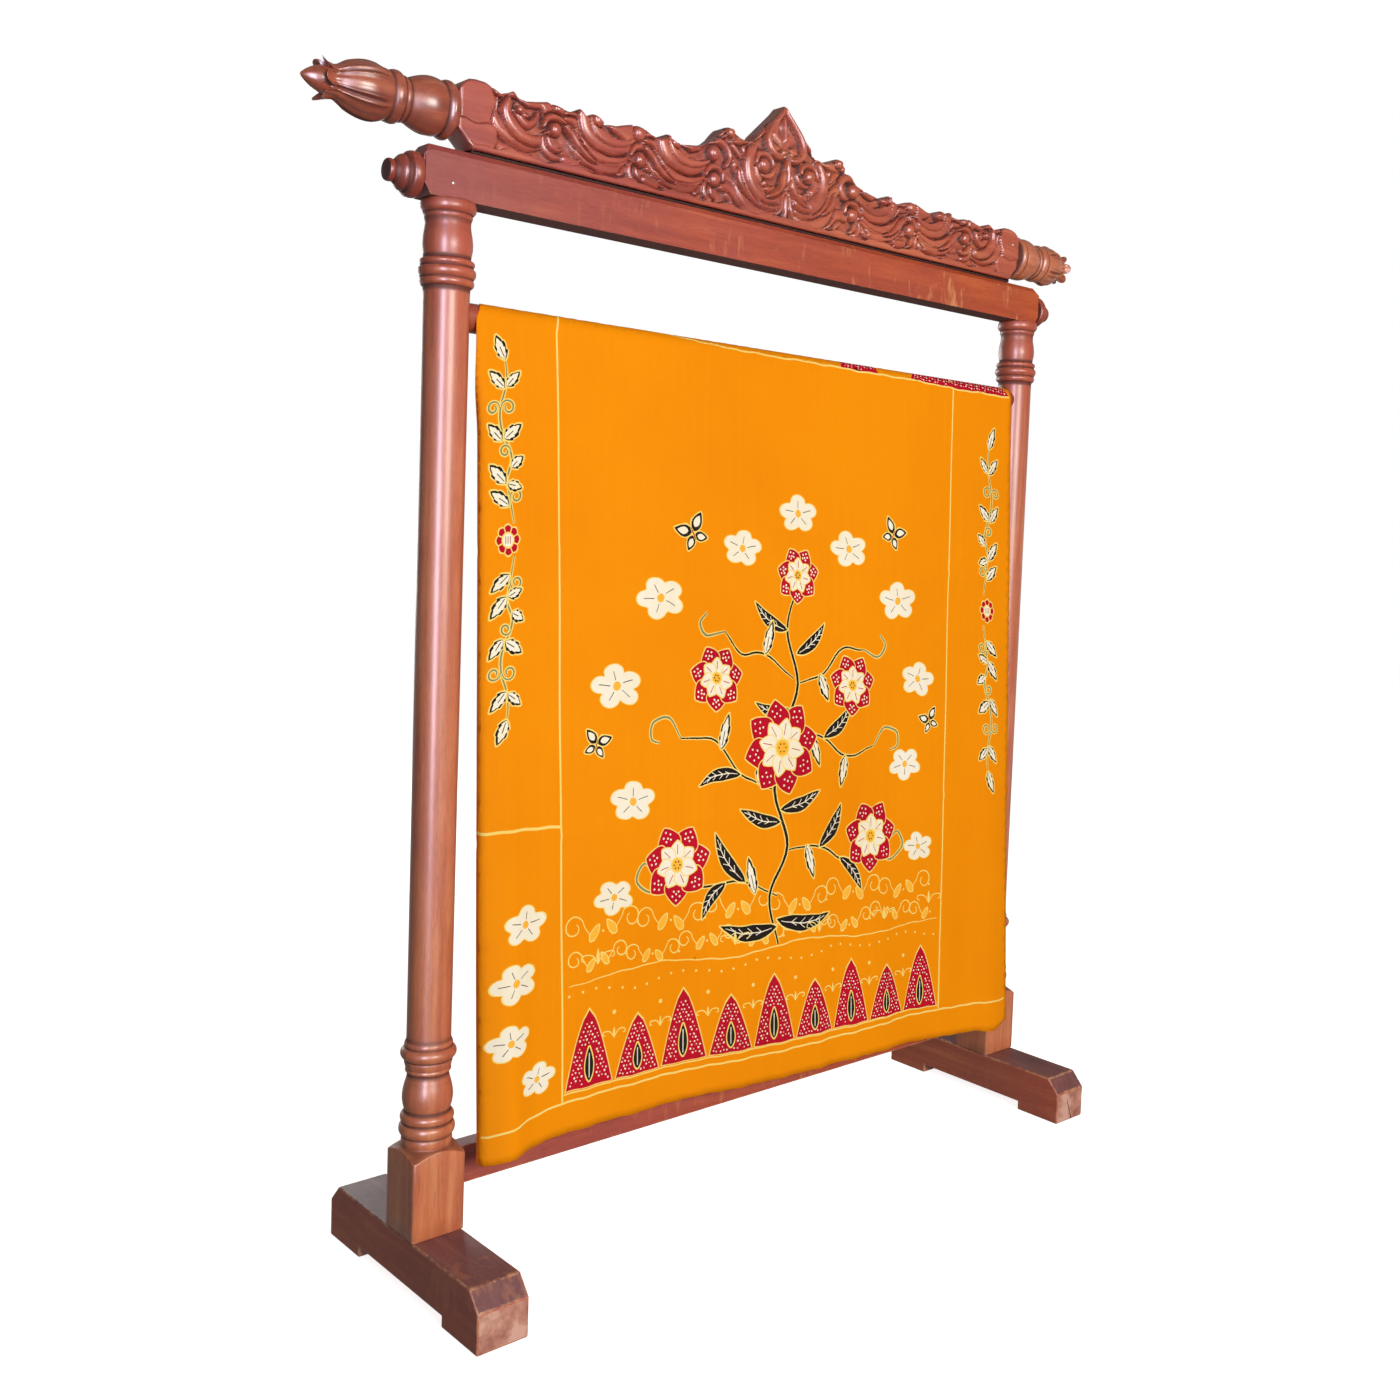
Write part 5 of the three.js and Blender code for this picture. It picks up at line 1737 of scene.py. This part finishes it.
# a bright backdrop behind the stand and a dimmer room in front, so that the sides away from the key
# stay darker
BACKDROP_TOWARDS = (math.sin(0.75), math.cos(0.75), 0.0)
ROOM_LIGHT, BACKDROP_LIGHT = 0.17, 0.42
world = bpy.data.worlds.new("studio")
world.use_nodes = True
sky = world.node_tree
direction = add(sky, "ShaderNodeTexCoord").outputs["Generated"]
facing = add(sky, "ShaderNodeVectorMath", {0: direction, 1: BACKDROP_TOWARDS}, operation="DOT_PRODUCT")
near_backdrop = spread(sky, facing.outputs["Value"], 0.2, 0.75, interpolation_type="SMOOTHSTEP")
rise = add(sky, "ShaderNodeSeparateXYZ", {0: direction}).outputs["Z"]
off_level = add(sky, "ShaderNodeMath", {0: rise}, operation="ABSOLUTE").outputs[0]
near_level = spread(sky, off_level, 0.12, 0.5, 1.0, 0.0, interpolation_type="SMOOTHSTEP")
glow = times(sky, near_backdrop, near_level)
set_inputs(sky, sky.nodes["Background"], {
    "Strength": spread(sky, glow, 0.0, 1.0, ROOM_LIGHT, BACKDROP_LIGHT), "Color": linear("#FDFCFB")})
bpy.context.scene.world = world


def area_light(name, place, target, size, power, hex_colour="#FFFFFF"):
    """A rectangular lamp at a place, turned to its target."""
    lamp = bpy.data.lights.new(name, "AREA")
    lamp.shape = "RECTANGLE"
    lamp.size, lamp.size_y = size
    lamp.energy = power
    lamp.color = linear(hex_colour)[:3]
    made = put_in_scene(name, lamp)
    toward = np.array(target) - np.array(place)
    back = -toward / np.linalg.norm(toward)
    right = np.cross((0, 0, 1), back)
    right /= np.linalg.norm(right)
    up = np.cross(back, right)
    made.matrix_world = Matrix([
        [right[i], up[i], back[i], place[i]] for i in range(3)] + [[0, 0, 0, 1]])
    return made


area_light("key", (-0.6, -4.5, 1.8), (0.0, 0.0, 0.85), (1.8, 1.6), 194, "#FFF8F0")
window = area_light("window", (-3.0, -2.7, 1.35), (-0.3, 0.0, 0.9), (0.8, 2.9), 230, "#F3E8FF")
window.visible_diffuse = False    # the window shows only in the varnish
area_light("rim", (0.4, 4.2, 1.6), (0.0, 0.0, 0.9), (2.6, 1.8), 55)

# the photograph's camera, worked out from the stand's own edges
CAMERA_PLACE = (-1.53758, -1.76070, 1.04375)
PITCH, ROLL, HEADING = -0.06025, 0.03898, 0.75446
FRAME_PIXELS = 1400
FOCAL = 1441.86                   # in pixels of the frame
SENSOR = 36.0                     # width in millimetres
OFF_CENTRE = (108.25, -67.81)
ahead = np.array([
    math.sin(HEADING) * math.cos(PITCH), math.cos(HEADING) * math.cos(PITCH), math.sin(PITCH)])
level = np.array([math.cos(HEADING), -math.sin(HEADING), 0.0])
upright = np.cross(level, ahead)
right = level * math.cos(ROLL) + upright * math.sin(ROLL)
up = -level * math.sin(ROLL) + upright * math.cos(ROLL)
lens = bpy.data.cameras.new("photograph")
lens.sensor_width = SENSOR
lens.lens = SENSOR * FOCAL / FRAME_PIXELS
lens.shift_x = -OFF_CENTRE[0] / FRAME_PIXELS
lens.shift_y = OFF_CENTRE[1] / FRAME_PIXELS
camera = put_in_scene("photograph", lens)
camera.matrix_world = Matrix([
    [right[i], up[i], -ahead[i], CAMERA_PLACE[i]] for i in range(3)] + [[0, 0, 0, 1]])
bpy.context.scene.camera = camera
bpy.context.scene.view_settings.view_transform = "Standard"
